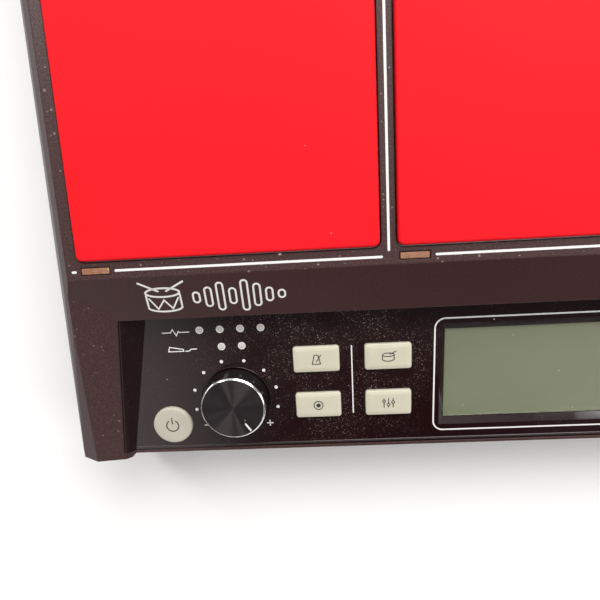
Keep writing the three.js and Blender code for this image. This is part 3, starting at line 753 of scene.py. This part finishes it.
BROW_STROKE_MM = 0.75
DRUM_PLACE_MM = (-145.4, -9.6)
DRUM_HALF_MM, HOOP_HALF_MM = 6.6, 1.9
BAR_HEIGHTS_MM = (4.4, 8.2, 11.8, 6.6, 13.0, 9.4, 5.6, 3.2)
FIRST_BAR_X_MM, BAR_PITCH_MM, BAR_WIDTH_MM = -132.6, 4.7, 2.5


def pill(x, y, width, height, stroke):
    """A printed loop with fully round ends."""
    outline = rounded_outline(width / 2, height / 2, width / 2 - 0.01, 6)
    return loop(moved_outline(outline, x, y), stroke)


def print_brow():
    """A generic pictogram in outline: a drum with two sticks, and level bars beside it."""
    stroke, half, dip = BROW_STROKE_MM, DRUM_HALF_MM, HOOP_HALF_MM
    x, y = DRUM_PLACE_MM
    rim = [(x + half * math.cos(a), y + 2.6 + dip * math.sin(a)) for a in angles(32)]
    marks = [loop(rim, stroke)]
    for side in (-1, 1):
        marks.append(line([(x + side * half, y + 1.5), (x + side * half, y - 3.2)], stroke))
    base = [(x + half * math.cos(a), y - 3.9 + dip * math.sin(a)) for a in angles(20, 180, 360)]
    marks.append(line(base, stroke))
    zigzag = [(-5.7, 0.1), (-2.9, -4.6), (0, -0.7), (2.9, -4.6), (5.7, 0.1)]
    marks.append(line(moved_outline(zigzag, x, y), stroke * 0.8))
    for side in (-1, 1):
        marks.append(line([(x + side * 1.6, y + 3.2), (x + side * 8.6, y + 7.0)], stroke))
    for i, height in enumerate(BAR_HEIGHTS_MM):
        marks.append(pill(FIRST_BAR_X_MM + i * BAR_PITCH_MM, y - 0.2, BAR_WIDTH_MM, height, stroke))
    ink("brow_print", marks, BROW, CASE_BODY, WHITE_INK)


# ---------- status lights, dots and other marks on the panel ----------

LIGHT_PITCH_MM = 8.52
FIRST_LIGHT_U_MM = -135.92
LIGHT_ROWS = ((6.9, range(4)), (14.5, range(1, 3)))
LIGHT_RING_MM = 1.42
ICON_STROKE_MM = 0.42
DOT_CIRCLE_MM, DOT_MM = 18.25, 0.72
DOT_TURNS_DEG, END_TURN_DEG = (15.2, 44.8, 74.2, 103.4), 131
SIGN_HALF_MM = 1.25
ARROW_CIRCLE_MM = 18.3
DIVIDER_U_MM, DIVIDER_V_MM = 73.3, (16.6, 47.2)
OUTLINE_V_MM, OUTLINE_HALF_MM, OUTLINE_CORNER_MM = (6.1, 57.3), 39.5, 4.2


def make_status_lights():
    """Six small lenses; returns the printed rings round them."""
    index = 0
    profile = [(0, -0.02), (1.18, -0.02), (1.18, 0.08), (0.97, 0.16), (0.6, 0.21), (0, 0.23)]
    rings = []
    for v, columns in LIGHT_ROWS:
        for column in columns:
            index += 1
            u = FIRST_LIGHT_U_MM + column * LIGHT_PITCH_MM
            verts, faces = lathed(profile, 24)
            name = f"status_light_{index}"
            add_piece(name, verts, faces, on_panel(u, v), CASE_BODY, LENS_WHITE)
            rings.append(circle((u, -v), LIGHT_RING_MM, 0.38))
    return rings


def trigger_icon(u, v):
    """A struck pulse: flat, up, down, flat."""
    points = [(-5.6, 0), (-2.2, 0), (-1.2, 1.35), (0.2, -1.35), (1.2, 0.5), (1.7, 0), (5.6, 0)]
    return [line(moved_outline(points, u, -v), ICON_STROKE_MM)]


def footswitch_icon(u, v):
    """A pedal on its base, with a lead."""
    pedal = [(-3.4, -0.9), (3.0, -0.9), (3.0, -0.1), (-2.8, 1.1)]
    lead = [(3.9, -0.9), (5.4, -0.9), (6.2, -0.1), (8.6, -0.1)]
    outline, tail = moved_outline(pedal, u, -v), moved_outline(lead, u, -v)
    return [loop(outline, ICON_STROKE_MM), line(tail, ICON_STROKE_MM)]


def on_dot_circle(u, v, turn_deg):
    """A place on the circle of dots, its turn measured clockwise from the top."""
    a = math.radians(90 - turn_deg)
    return u + DOT_CIRCLE_MM * math.cos(a), -v + DOT_CIRCLE_MM * math.sin(a)


def knob_scale(u, v):
    """Dots round the volume knob, with a minus and a plus at the ends."""
    marks = []
    for turn in DOT_TURNS_DEG:
        for side in (-1, 1):
            marks.append(disc(on_dot_circle(u, v, side * turn), DOT_MM))
    half = SIGN_HALF_MM
    for side in (-1, 1):
        x, y = on_dot_circle(u, v, side * END_TURN_DEG)
        marks.append(line([(x - half, y), (x + half, y)], ICON_STROKE_MM))
    for end in (1, -1):
        marks.append(line([(x, y + end * 0.22), (x, y + end * half)], ICON_STROKE_MM))
    return marks


def dial_arrows(u, v):
    """Two curved arrows over the data dial."""
    marks = []
    for side in (-1, 1):
        track = arc((u, -v), ARROW_CIRCLE_MM, 90 - side * 18, 90 - side * 62, 14)
        marks.append(line(track, 0.45))
        tip = math.radians(90 - side * 68)
        ahead = Vector((math.cos(tip), math.sin(tip)))
        across = Vector((ahead.y, -ahead.x)) * side
        centre = Vector((u, -v)) + ahead * ARROW_CIRCLE_MM
        back = centre - across * 0.7
        corners = [centre + across * 0.9, back + ahead * 1.1, back - ahead * 1.1]
        marks.append(plate_of([(c.x, c.y) for c in corners]))
    return marks


def display_outline():
    """The rounded line printed round the display."""
    (top, bottom), half_width, stroke = OUTLINE_V_MM, OUTLINE_HALF_MM, 0.64
    half_height = (bottom - top - stroke) / 2
    outline = rounded_outline(half_width - stroke / 2, half_height, OUTLINE_CORNER_MM, 8)
    return loop(moved_outline(outline, 0, -(top + bottom) / 2), stroke)


def print_panel():
    marks = make_status_lights()
    marks += trigger_icon(-146.0, 7.5) + footswitch_icon(-146.6, 15.0)
    marks += knob_scale(-KNOB_U_MM, KNOB_V_MM) + dial_arrows(KNOB_U_MM, KNOB_V_MM)
    for side in (-1, 1):
        marks.append(line([(side * DIVIDER_U_MM, -v) for v in DIVIDER_V_MM], 0.5))
    marks.append(display_outline())
    ink("panel_print", marks, PANEL, CASE_BODY, WHITE_INK)


BEAD_HALF_LENGTH_MM, BEAD_MM = 170.5, 0.55


def make_front_bead():
    """The panel's rolled front edge, from cheek to cheek."""
    low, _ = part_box("control_panel")
    front_v = -(PANEL.inverted() @ Vector((0, low.y, PANEL_ORIGIN.z))).y * 1000
    section = arc((0, 0), BEAD_MM, 0, 360, 16)
    ends = []
    for x in (-BEAD_HALF_LENGTH_MM, BEAD_HALF_LENGTH_MM):
        ends.append([(x, -front_v + BEAD_MM + 0.1 + y, z - 0.2) for z, y in section])
    count = len(section)
    faces = [tuple(range(count)), tuple(reversed(range(count, 2 * count)))]
    faces += [(i, i + count, (i + 1) % count + count, (i + 1) % count) for i in range(count)]
    verts = ends[0] + ends[1]
    add_piece("panel_front_bead", verts, faces, PANEL, CASE_BODY, BEAD_GLOSS)


# ---------- keys ----------

KEY_RISE_MM = 1.6
KEY_HEIGHT_MM, KEY_CORNER_MM = 11.3, 1.2
FLANGE_MM, FLANGE_LOW_MM, FLANGE_TOP_MM = 0.9, -4.0, -2.85
SIDE_LOW_MM, SIDE_TOP_MM = -2.8, 0.9


def key_centre(node):
    """A key's place on the panel, as u and v."""
    low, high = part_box(node)
    place = PANEL.inverted() @ ((low + high) / 2)
    return place.x * 1000, -place.y * 1000


def make_key(node):
    """A rectangular key: flange, upright sides, and a crown with a crisp bevel all round."""
    u, v = key_centre(node)
    low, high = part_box(node)
    half_x, half_y = (high.x - low.x) * 500 - FLANGE_MM, KEY_HEIGHT_MM / 2
    levels = [(-FLANGE_MM, FLANGE_LOW_MM), (-FLANGE_MM, FLANGE_TOP_MM)]
    levels += [(0.0, SIDE_LOW_MM), (0.0, SIDE_TOP_MM)]
    levels += [(0.03, 1.08), (0.12, 1.24), (0.26, 1.36), (0.45, 1.43), (1.35, 1.53), (1.5, 1.58)]
    levels += [(1.7, KEY_RISE_MM), (2.4, KEY_RISE_MM)]
    rings = [rounded_ring(half_x, half_y, KEY_CORNER_MM, inset, z, 6) for inset, z in levels]
    verts, faces = stacked(rings)
    key = add_piece(f"{node}_cap", verts, faces, on_panel(u, v), node, IVORY)
    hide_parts(node)


def make_power_key():
    """The round power key, with the same flange and a softer edge."""
    u, v = key_centre("power_button")
    low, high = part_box("power_button")
    r = (high.x - low.x) * 500 - FLANGE_MM
    flange = r + FLANGE_MM - 0.05
    profile = [(0, FLANGE_LOW_MM), (flange, FLANGE_LOW_MM), (flange, FLANGE_TOP_MM)]
    profile += [(r, SIDE_LOW_MM), (r, SIDE_TOP_MM)]
    profile += [(r - 0.08, 1.15), (r - 0.3, 1.38), (r - 0.65, 1.53), (r - 1.1, KEY_RISE_MM)]
    profile += [(r - 2.0, KEY_RISE_MM), (0, KEY_RISE_MM)]
    verts, faces = lathed(profile, 72)
    name, body, slot = "power_button_cap", "power_button", "button_ivory"
    key = add_piece(name, verts, faces, on_panel(u, v), body, IVORY_DULL)
    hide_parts("power_button")


def metronome_mark():
    body = [(-1.7, -2.0), (1.7, -2.0), (0.8, 2.0), (-0.8, 2.0)]
    return [loop(body, 0.38), line([(0, -0.9), (1.9, 1.9)], 0.38)]


def record_mark():
    return [circle((0, 0), 1.9, 0.4), disc((0, 0), 0.95)]


def kit_mark():
    rim = [(2.4 * math.cos(a), 0.9 + 0.75 * math.sin(a)) for a in angles(24)]
    shell = [(-2.4, 0.5), (-2.4, -1.3), (-1.2, -1.85), (0, -2.0)]
    shell += [(1.2, -1.85), (2.4, -1.3), (2.4, 0.5)]
    return [loop(rim, 0.36), line(shell, 0.36), line([(0.7, 1.2), (3.1, 2.3)], 0.36)]


def sliders_mark():
    marks = []
    for x, y in ((-1.9, 0.8), (0, -0.8), (1.9, 0.3)):
        marks.append(line([(x, -2.0), (x, y - 0.75)], 0.38))
        marks.append(line([(x, y + 0.75), (x, 2.0)], 0.38))
        marks.append(circle((x, y), 0.6, 0.36, 16))
    return marks


def arrow_mark(direction):
    return [line([(-1.6, -0.8 * direction), (0, 0.9 * direction), (1.6, -0.8 * direction)], 0.45)]


def tick_mark():
    return [line([(-1.8, 0.0), (-0.5, -1.3), (1.9, 1.3)], 0.45)]


def back_mark():
    shaft = [(1.9, -1.2), (1.9, 0.5), (-1.6, 0.5)]
    return [line(shaft, 0.38), line([(-0.5, 1.6), (-1.75, 0.5), (-0.5, -0.6)], 0.38)]


def power_mark():
    return [line(arc((0, 0), 2.65, 125, 415, 28), 0.5), line([(0, 0.9), (0, 3.6)], 0.5)]


KEY_MARKS = {
    "click_button": metronome_mark(),
    "record_button": record_mark(),
    "kit_button": kit_mark(),
    "setup_button": sliders_mark(),
    "up_button": arrow_mark(1),
    "down_button": arrow_mark(-1),
    "enter_button": tick_mark(),
    "exit_button": back_mark(),
    "power_button": power_mark(),
}


def print_keys():
    for node, marks in KEY_MARKS.items():
        u, v = key_centre(node)
        ink(f"{node}_mark", marks, on_panel(u, v, KEY_RISE_MM), node, DARK_INK)


# ---------- knob and dial ----------

KNOB_RADIUS_MM, KNOB_TOP_MM, KNOB_SKIRT_MM = 13.5, 8.7, 14.2
KNOB_SEGMENTS = 128
POINTER_TURN_DEG, POINTER_START_MM, POINTER_WIDTH_MM = -147, 8.6, 0.8


def knob_matrix(joint_name, lift_mm=0.0):
    """Axes at a knob's foot, z along the joint's axis."""
    foot = Vector(JOINTS[joint_name]["pos_m"])
    return axes_matrix(RIGHT, UP_SLOPE, PANEL_NORMAL, foot + PANEL_NORMAL * mm(lift_mm))


def make_knob(joint_name, node):
    """Tapered body, bright cut edge and a spun face, as three pieces about the joint's axis."""
    matrix = knob_matrix(joint_name)
    r, top, skirt = KNOB_RADIUS_MM, KNOB_TOP_MM, KNOB_SKIRT_MM
    side = [(0, 1.3), (5.0, 1.3), (5.0, 0.15), (skirt - 0.2, 0.15), (skirt, 0.35), (skirt, 0.6)]
    side += [(r + 0.1, top - 1.2), (r, top - 0.75), (r - 0.1, top - 0.62), (0, top - 0.62)]
    verts, faces = lathed(side, KNOB_SEGMENTS)
    body = add_piece(f"{node}_side", verts, faces, matrix, node, KNOB_SIDE)
    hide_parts(node)
    rim = [(0, top - 0.6), (r - 0.06, top - 0.6), (r, top - 0.55), (r - 0.46, top - 0.05)]
    rim += [(r - 0.54, top), (r - 0.68, top - 0.02), (r - 0.72, top - 0.3), (0, top - 0.3)]
    verts, faces = lathed(rim, KNOB_SEGMENTS)
    add_piece(f"{node}_rim", verts, faces, matrix, node, BRIGHT_CUT, 20)
    face = [(0, top - 0.29), (r - 0.75, top - 0.29), (r - 0.75, top - 0.1), (r - 0.81, top - 0.05)]
    face += [(r - 1.0, top - 0.05), (r * 0.5, top - 0.07), (0, top - 0.08)]
    verts, faces = lathed(face, KNOB_SEGMENTS)
    add_piece(f"{node}_face", verts, faces, matrix, node, SPUN_METAL)


def make_well_ring(joint_name, node):
    """The thin raised edge of the round well a knob stands in."""
    outer, inner = KNOB_SKIRT_MM + 0.95, KNOB_SKIRT_MM + 0.6
    verts, faces = hollow_ring(outer, inner, -0.15, 0.12, KNOB_SEGMENTS, 0.08)
    matrix = knob_matrix(joint_name, 0.3)
    add_piece(f"{node}_well_ring", verts, faces, matrix, CASE_BODY, BEAD_GLOSS)


def print_pointer():
    """The white pointer on the volume knob's face, at rest by the plus sign."""
    turn = Matrix.Rotation(math.radians(POINTER_TURN_DEG), 4, "Z")
    lift = Matrix.Translation(Vector(mm(0, 0, KNOB_TOP_MM - 0.05)))
    matrix = knob_matrix("volume_turn") @ lift @ turn
    pointer = [line([(0, POINTER_START_MM), (0, KNOB_RADIUS_MM - 1.5)], POINTER_WIDTH_MM)]
    ink("volume_pointer", pointer, matrix, "volume_knob", WHITE_INK)


def make_knobs():
    make_knob("volume_turn", "volume_knob")
    make_well_ring("volume_turn", "volume_knob")
    make_well_ring("data_turn", "data_dial")
    print_pointer()
    make_knob("data_turn", "data_dial")


# ---------- the rear: nuts, contacts and marks by the sockets ----------

MARK_ASIDE_MM = 11.5


def socket_openings():
    return {o["name"]: o["box_m"] for o in frame["record"]["physics"]["openings"]}


def opening_centre(box):
    low, high = Vector(box[0]), Vector(box[1])
    return (low + high) / 2


def rear_matrix(x, z):
    """Axes for a thing on the rear wall: local x to the right as seen from behind, z outwards."""
    origin = Vector((x, REAR_FACE_Y, z))
    return axes_matrix(Vector((-1, 0, 0)), Vector((0, 0, 1)), Vector((0, 1, 0)), origin)


def socket_part(name):
    """What shows in a socket: the piece's name, its mesh, its slot and its material."""
    if name == "usb_socket":
        levels = ((0, -11.5), (0, -1.4), (0.3, -1.1))
        rings = [rounded_ring(2.85, 2.75, 0.4, inset, z) for inset, z in levels]
        return "usb_tongue", stacked(rings), "socket_plastic", LENS_WHITE
    if name == "power_inlet":
        pin = [(0, -13), (1.0, -13), (1.0, -1.2), (0.7, -0.8), (0, -0.7)]
        return "power_inlet_pin", lathed(pin, 20), "shaft_steel", NICKEL
    washer = hollow_ring(6.6, 6.25, 0.02, 0.28, 40, 0.06)
    sleeve = hollow_ring(4.6, 3.35, 2.02, 2.45, 40, 0.15)
    return f"{name}_trim", merged([washer, sleeve]), "shaft_steel", NICKEL


def make_sockets():
    for name, box in socket_openings().items():
        centre = opening_centre(box)
        piece_name, (verts, faces), slot, material = socket_part(name)
        matrix = rear_matrix(centre.x, centre.z)
        add_piece(piece_name, verts, faces, matrix, CASE_BODY, material)


def rear_marks():
    """Pictograms to the left of the sockets, none of them lettering."""
    boxes = socket_openings()
    marks = []

    def centred(name):
        centre = opening_centre(boxes[name])
        return -centre.x * 1000 - MARK_ASIDE_MM, (centre.z - DECK_Z) * 1000

    x, y = centred("phones_socket")
    marks.append(line(arc((x, y - 0.6), 1.7, 0, 180, 14), 0.35))
    for side in (-1, 1):
        marks.append(line([(x + side * 1.7, y - 1.0), (x + side * 1.7, y - 1.5)], 0.8))
    for name in ("main_out_left_socket", "main_out_right_socket"):
        x, y = centred(name)
        speaker = [(-1.6, -0.8), (-0.6, -0.8), (0.7, -1.7), (0.7, 1.7), (-0.6, 0.8), (-1.6, 0.8)]
        marks.append(loop(moved_outline(speaker, x, y), 0.3))
        marks.append(line(arc((x + 0.8, y), 1.2, -50, 50, 8), 0.3))
    for index in (1, 2):
        x, y = centred(f"footswitch_socket_{index}")
        pedal = [(-2.0, -0.8), (1.8, -0.8), (1.8, -0.1), (-1.7, 0.9)]
        marks.append(loop(moved_outline(pedal, x, y), 0.3))
    for index in range(1, 5):
        x, y = centred(f"trigger_socket_{index}")
        pulse = [(-2.2, 0), (-0.9, 0), (-0.4, 1.1), (0.3, -1.1), (0.8, 0), (2.2, 0)]
        marks.append(line(moved_outline(pulse, x, y), 0.32))
        for dot in range(index):
            marks.append(disc((x - (index - 1) * 0.55 + dot * 1.1, y + 2.3), 0.3, 12))
    x, y = centred("usb_socket")
    marks.append(line([(x - 1.8, y + 0.6), (x + 1.8, y + 0.6)], 0.32))
    marks.append(line([(x - 1.8, y - 0.6), (x + 1.8, y - 0.6)], 0.32))
    x, y = centred("power_inlet")
    marks.append(circle((x, y), 0.5, 0.3, 14))
    marks.append(line(arc((x, y), 1.5, 40, 320, 20), 0.3))
    return marks


def print_rear():
    matrix = rear_matrix(0, DECK_Z)
    ink("rear_print", rear_marks(), matrix, CASE_BODY, WHITE_INK)


# ---------- underside ----------


def make_feet():
    for i in range(1, 5):
        name = f"foot_{i}"
        low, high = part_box(name)
        r, tall = (high.x - low.x) * 500, (high.z - low.z) * 1000
        profile = [(0, 0.5), (r - 5.0, 0.5), (r - 4.4, 0.0), (r - 1.6, 0.0), (r - 0.7, 0.35)]
        profile += [(r - 0.25, 1.1), (r, 2.4), (r, tall - 0.3), (r - 0.3, tall), (0, tall)]
        verts, faces = lathed(profile, 56)
        matrix = Matrix.Translation(((low.x + high.x) / 2, (low.y + high.y) / 2, low.z))
        foot = add_piece(f"{name}_rubber", verts, faces, matrix, CASE_BODY, FOOT_RUBBER)
        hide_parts(name)


def ring_towards(outline, radius, z):
    """The outline's points moved onto a circle, in the same order."""
    points = []
    for x, y in outline:
        length = math.hypot(x, y)
        points.append((x / length * radius, y / length * radius, z))
    return points


CROSS_HALF_MM, CROSS_REACH_MM = 0.35, 1.6


def cross_outline():
    """The outline of a cross recess, anticlockwise."""
    points = []
    half, reach = CROSS_HALF_MM, CROSS_REACH_MM
    for step in range(4):
        a = math.radians(90) * step
        for across, along in ((-half, half), (-half, reach), (half, reach)):
            x = along * math.cos(a) - across * math.sin(a)
            y = along * math.sin(a) + across * math.cos(a)
            points.append((x, y))
    return points


def make_screws():
    recess = cross_outline()
    for i in range(1, 5):
        name = f"case_screw_{i}"
        low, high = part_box(name)
        r, tall = (high.x - low.x) * 500, (high.z - low.z) * 1000
        rings = [
            [(x * 0.8, y * 0.8, 1.3) for x, y in recess],
            [(x, y, 0.15) for x, y in recess],
            ring_towards(recess, r - 0.9, 0.0),
            ring_towards(recess, r - 0.1, 0.6),
            ring_towards(recess, r, 1.0),
            ring_towards(recess, r, 2.1),
            ring_towards(recess, 1.5, 2.15),
            ring_towards(recess, 1.5, tall - 1.5),
            ring_towards(recess, 0.3, tall),
        ]
        verts, faces = stacked(rings)
        matrix = Matrix.Translation(((low.x + high.x) / 2, (low.y + high.y) / 2, low.z))
        screw = add_piece(f"{name}_cross", verts, faces, matrix, CASE_BODY, STEEL)
        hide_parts(name)


# ---------- stage ----------


def make_stage():
    bpy.ops.mesh.primitive_plane_add(size=6, location=(0, 0, 0))
    floor = bpy.context.object
    floor.name = "floor"
    look = Look("floor", (0.93, 0.925, 0.92), 0.6)
    shade = look.noise(3, 2, 0.5)
    look.colour(look.mixed(shade, (0.94, 0.935, 0.93), (0.92, 0.915, 0.91)))
    floor.data.materials.append(look.material)


def add_light(name, place, target, size, power, colour=(1, 1, 1), sheen_only=False):
    """A soft rectangular light; sheen_only leaves it out of the matt part of the lighting."""
    data = bpy.data.lights.new(name, "AREA")
    data.shape = "RECTANGLE"
    data.size, data.size_y = size
    data.energy = power
    data.color = colour
    light = bpy.data.objects.new(name, data)
    SCENE.collection.objects.link(light)
    light.location = place
    aim = Vector(target) - Vector(place)
    light.rotation_euler = aim.to_track_quat("-Z", "Y").to_euler()
    light.visible_diffuse = not sheen_only


def glow(tree, direction, toward, inner_deg, outer_deg, radiance):
    """A round soft-edged patch of sky; returns its radiance over directions."""
    aim = tree.nodes.new("ShaderNodeVectorMath")
    aim.operation = "DOT_PRODUCT"
    aim.inputs[1].default_value = Vector(toward).normalized()
    tree.links.new(direction, aim.inputs[0])
    edge = tree.nodes.new("ShaderNodeMapRange")
    edge.interpolation_type = "SMOOTHSTEP"
    edge.inputs["From Min"].default_value = math.cos(math.radians(outer_deg))
    edge.inputs["From Max"].default_value = math.cos(math.radians(inner_deg))
    edge.inputs["To Max"].default_value = radiance
    tree.links.new(aim.outputs["Value"], edge.inputs["Value"])
    return edge.outputs["Result"]


ROOM_GLOW = 0.13


def make_sky():
    """A dim room: soft bright patches left, overhead and behind, and a dark gap above the front.

    Each patch is its direction, the angles where it starts and ends to fade, and its radiance.
    """
    world = bpy.data.worlds.new("world")
    SCENE.world = world
    world.use_nodes = True
    tree = world.node_tree
    background = tree.nodes["Background"]
    background.inputs["Color"].default_value = (1.0, 0.975, 0.96, 1)
    direction = tree.nodes.new("ShaderNodeTexCoord").outputs["Generated"]
    patches = (
        ((-0.58, -0.5, 0.64), 6, 30, 1.05),
        ((0.0, 0.2, 1.0), 3, 30, 0.66),
        ((0.14, -0.66, 0.74), 6, 19, -0.11),
        ((0.41, 0.15, 0.9), 7, 15, 1.3),
        ((0.1, 1.0, 0.35), 20, 75, 0.6),
    )
    total = None
    for patch in patches:
        value = glow(tree, direction, *patch)
        add = tree.nodes.new("ShaderNodeMath")
        add.operation = "ADD"
        add.inputs[1].default_value = ROOM_GLOW
        if total is not None:
            tree.links.new(total, add.inputs[1])
        tree.links.new(value, add.inputs[0])
        total = add.outputs[0]
    tree.links.new(total, background.inputs["Strength"])


def make_lights():
    make_sky()
    centre = (0, 0, 0.05)
    add_light("key_rear_right", (0.55, 1.15, 1.15), centre, (1.5, 0.9), 31)
    add_light("strip_rear_left", (-0.92, 0.83, 1.2), centre, (0.22, 0.9), 9, (1.0, 0.98, 0.95))
    add_light("fill_right", (1.3, -0.35, 0.9), centre, (0.8, 0.8), 6)
    add_light("glint_front", (-0.1, -1.5, 0.5), centre, (2.2, 0.3), 6, sheen_only=True)
    add_light("glint_left", (-1.5, -0.1, 0.45), centre, (1.6, 0.3), 3, sheen_only=True)
    SCENE.view_settings.view_transform = "Standard"
    SCENE.view_settings.look = "None"


# ---------- build ----------

dress_frame()
make_pads()
print_deck()
print_brow()
print_panel()
make_front_bead()
for key_node in KEY_MARKS:
    if key_node != "power_button":
        make_key(key_node)
make_power_key()
print_keys()
make_knobs()
make_sockets()
print_rear()
make_feet()
make_screws()
make_stage()
make_lights()
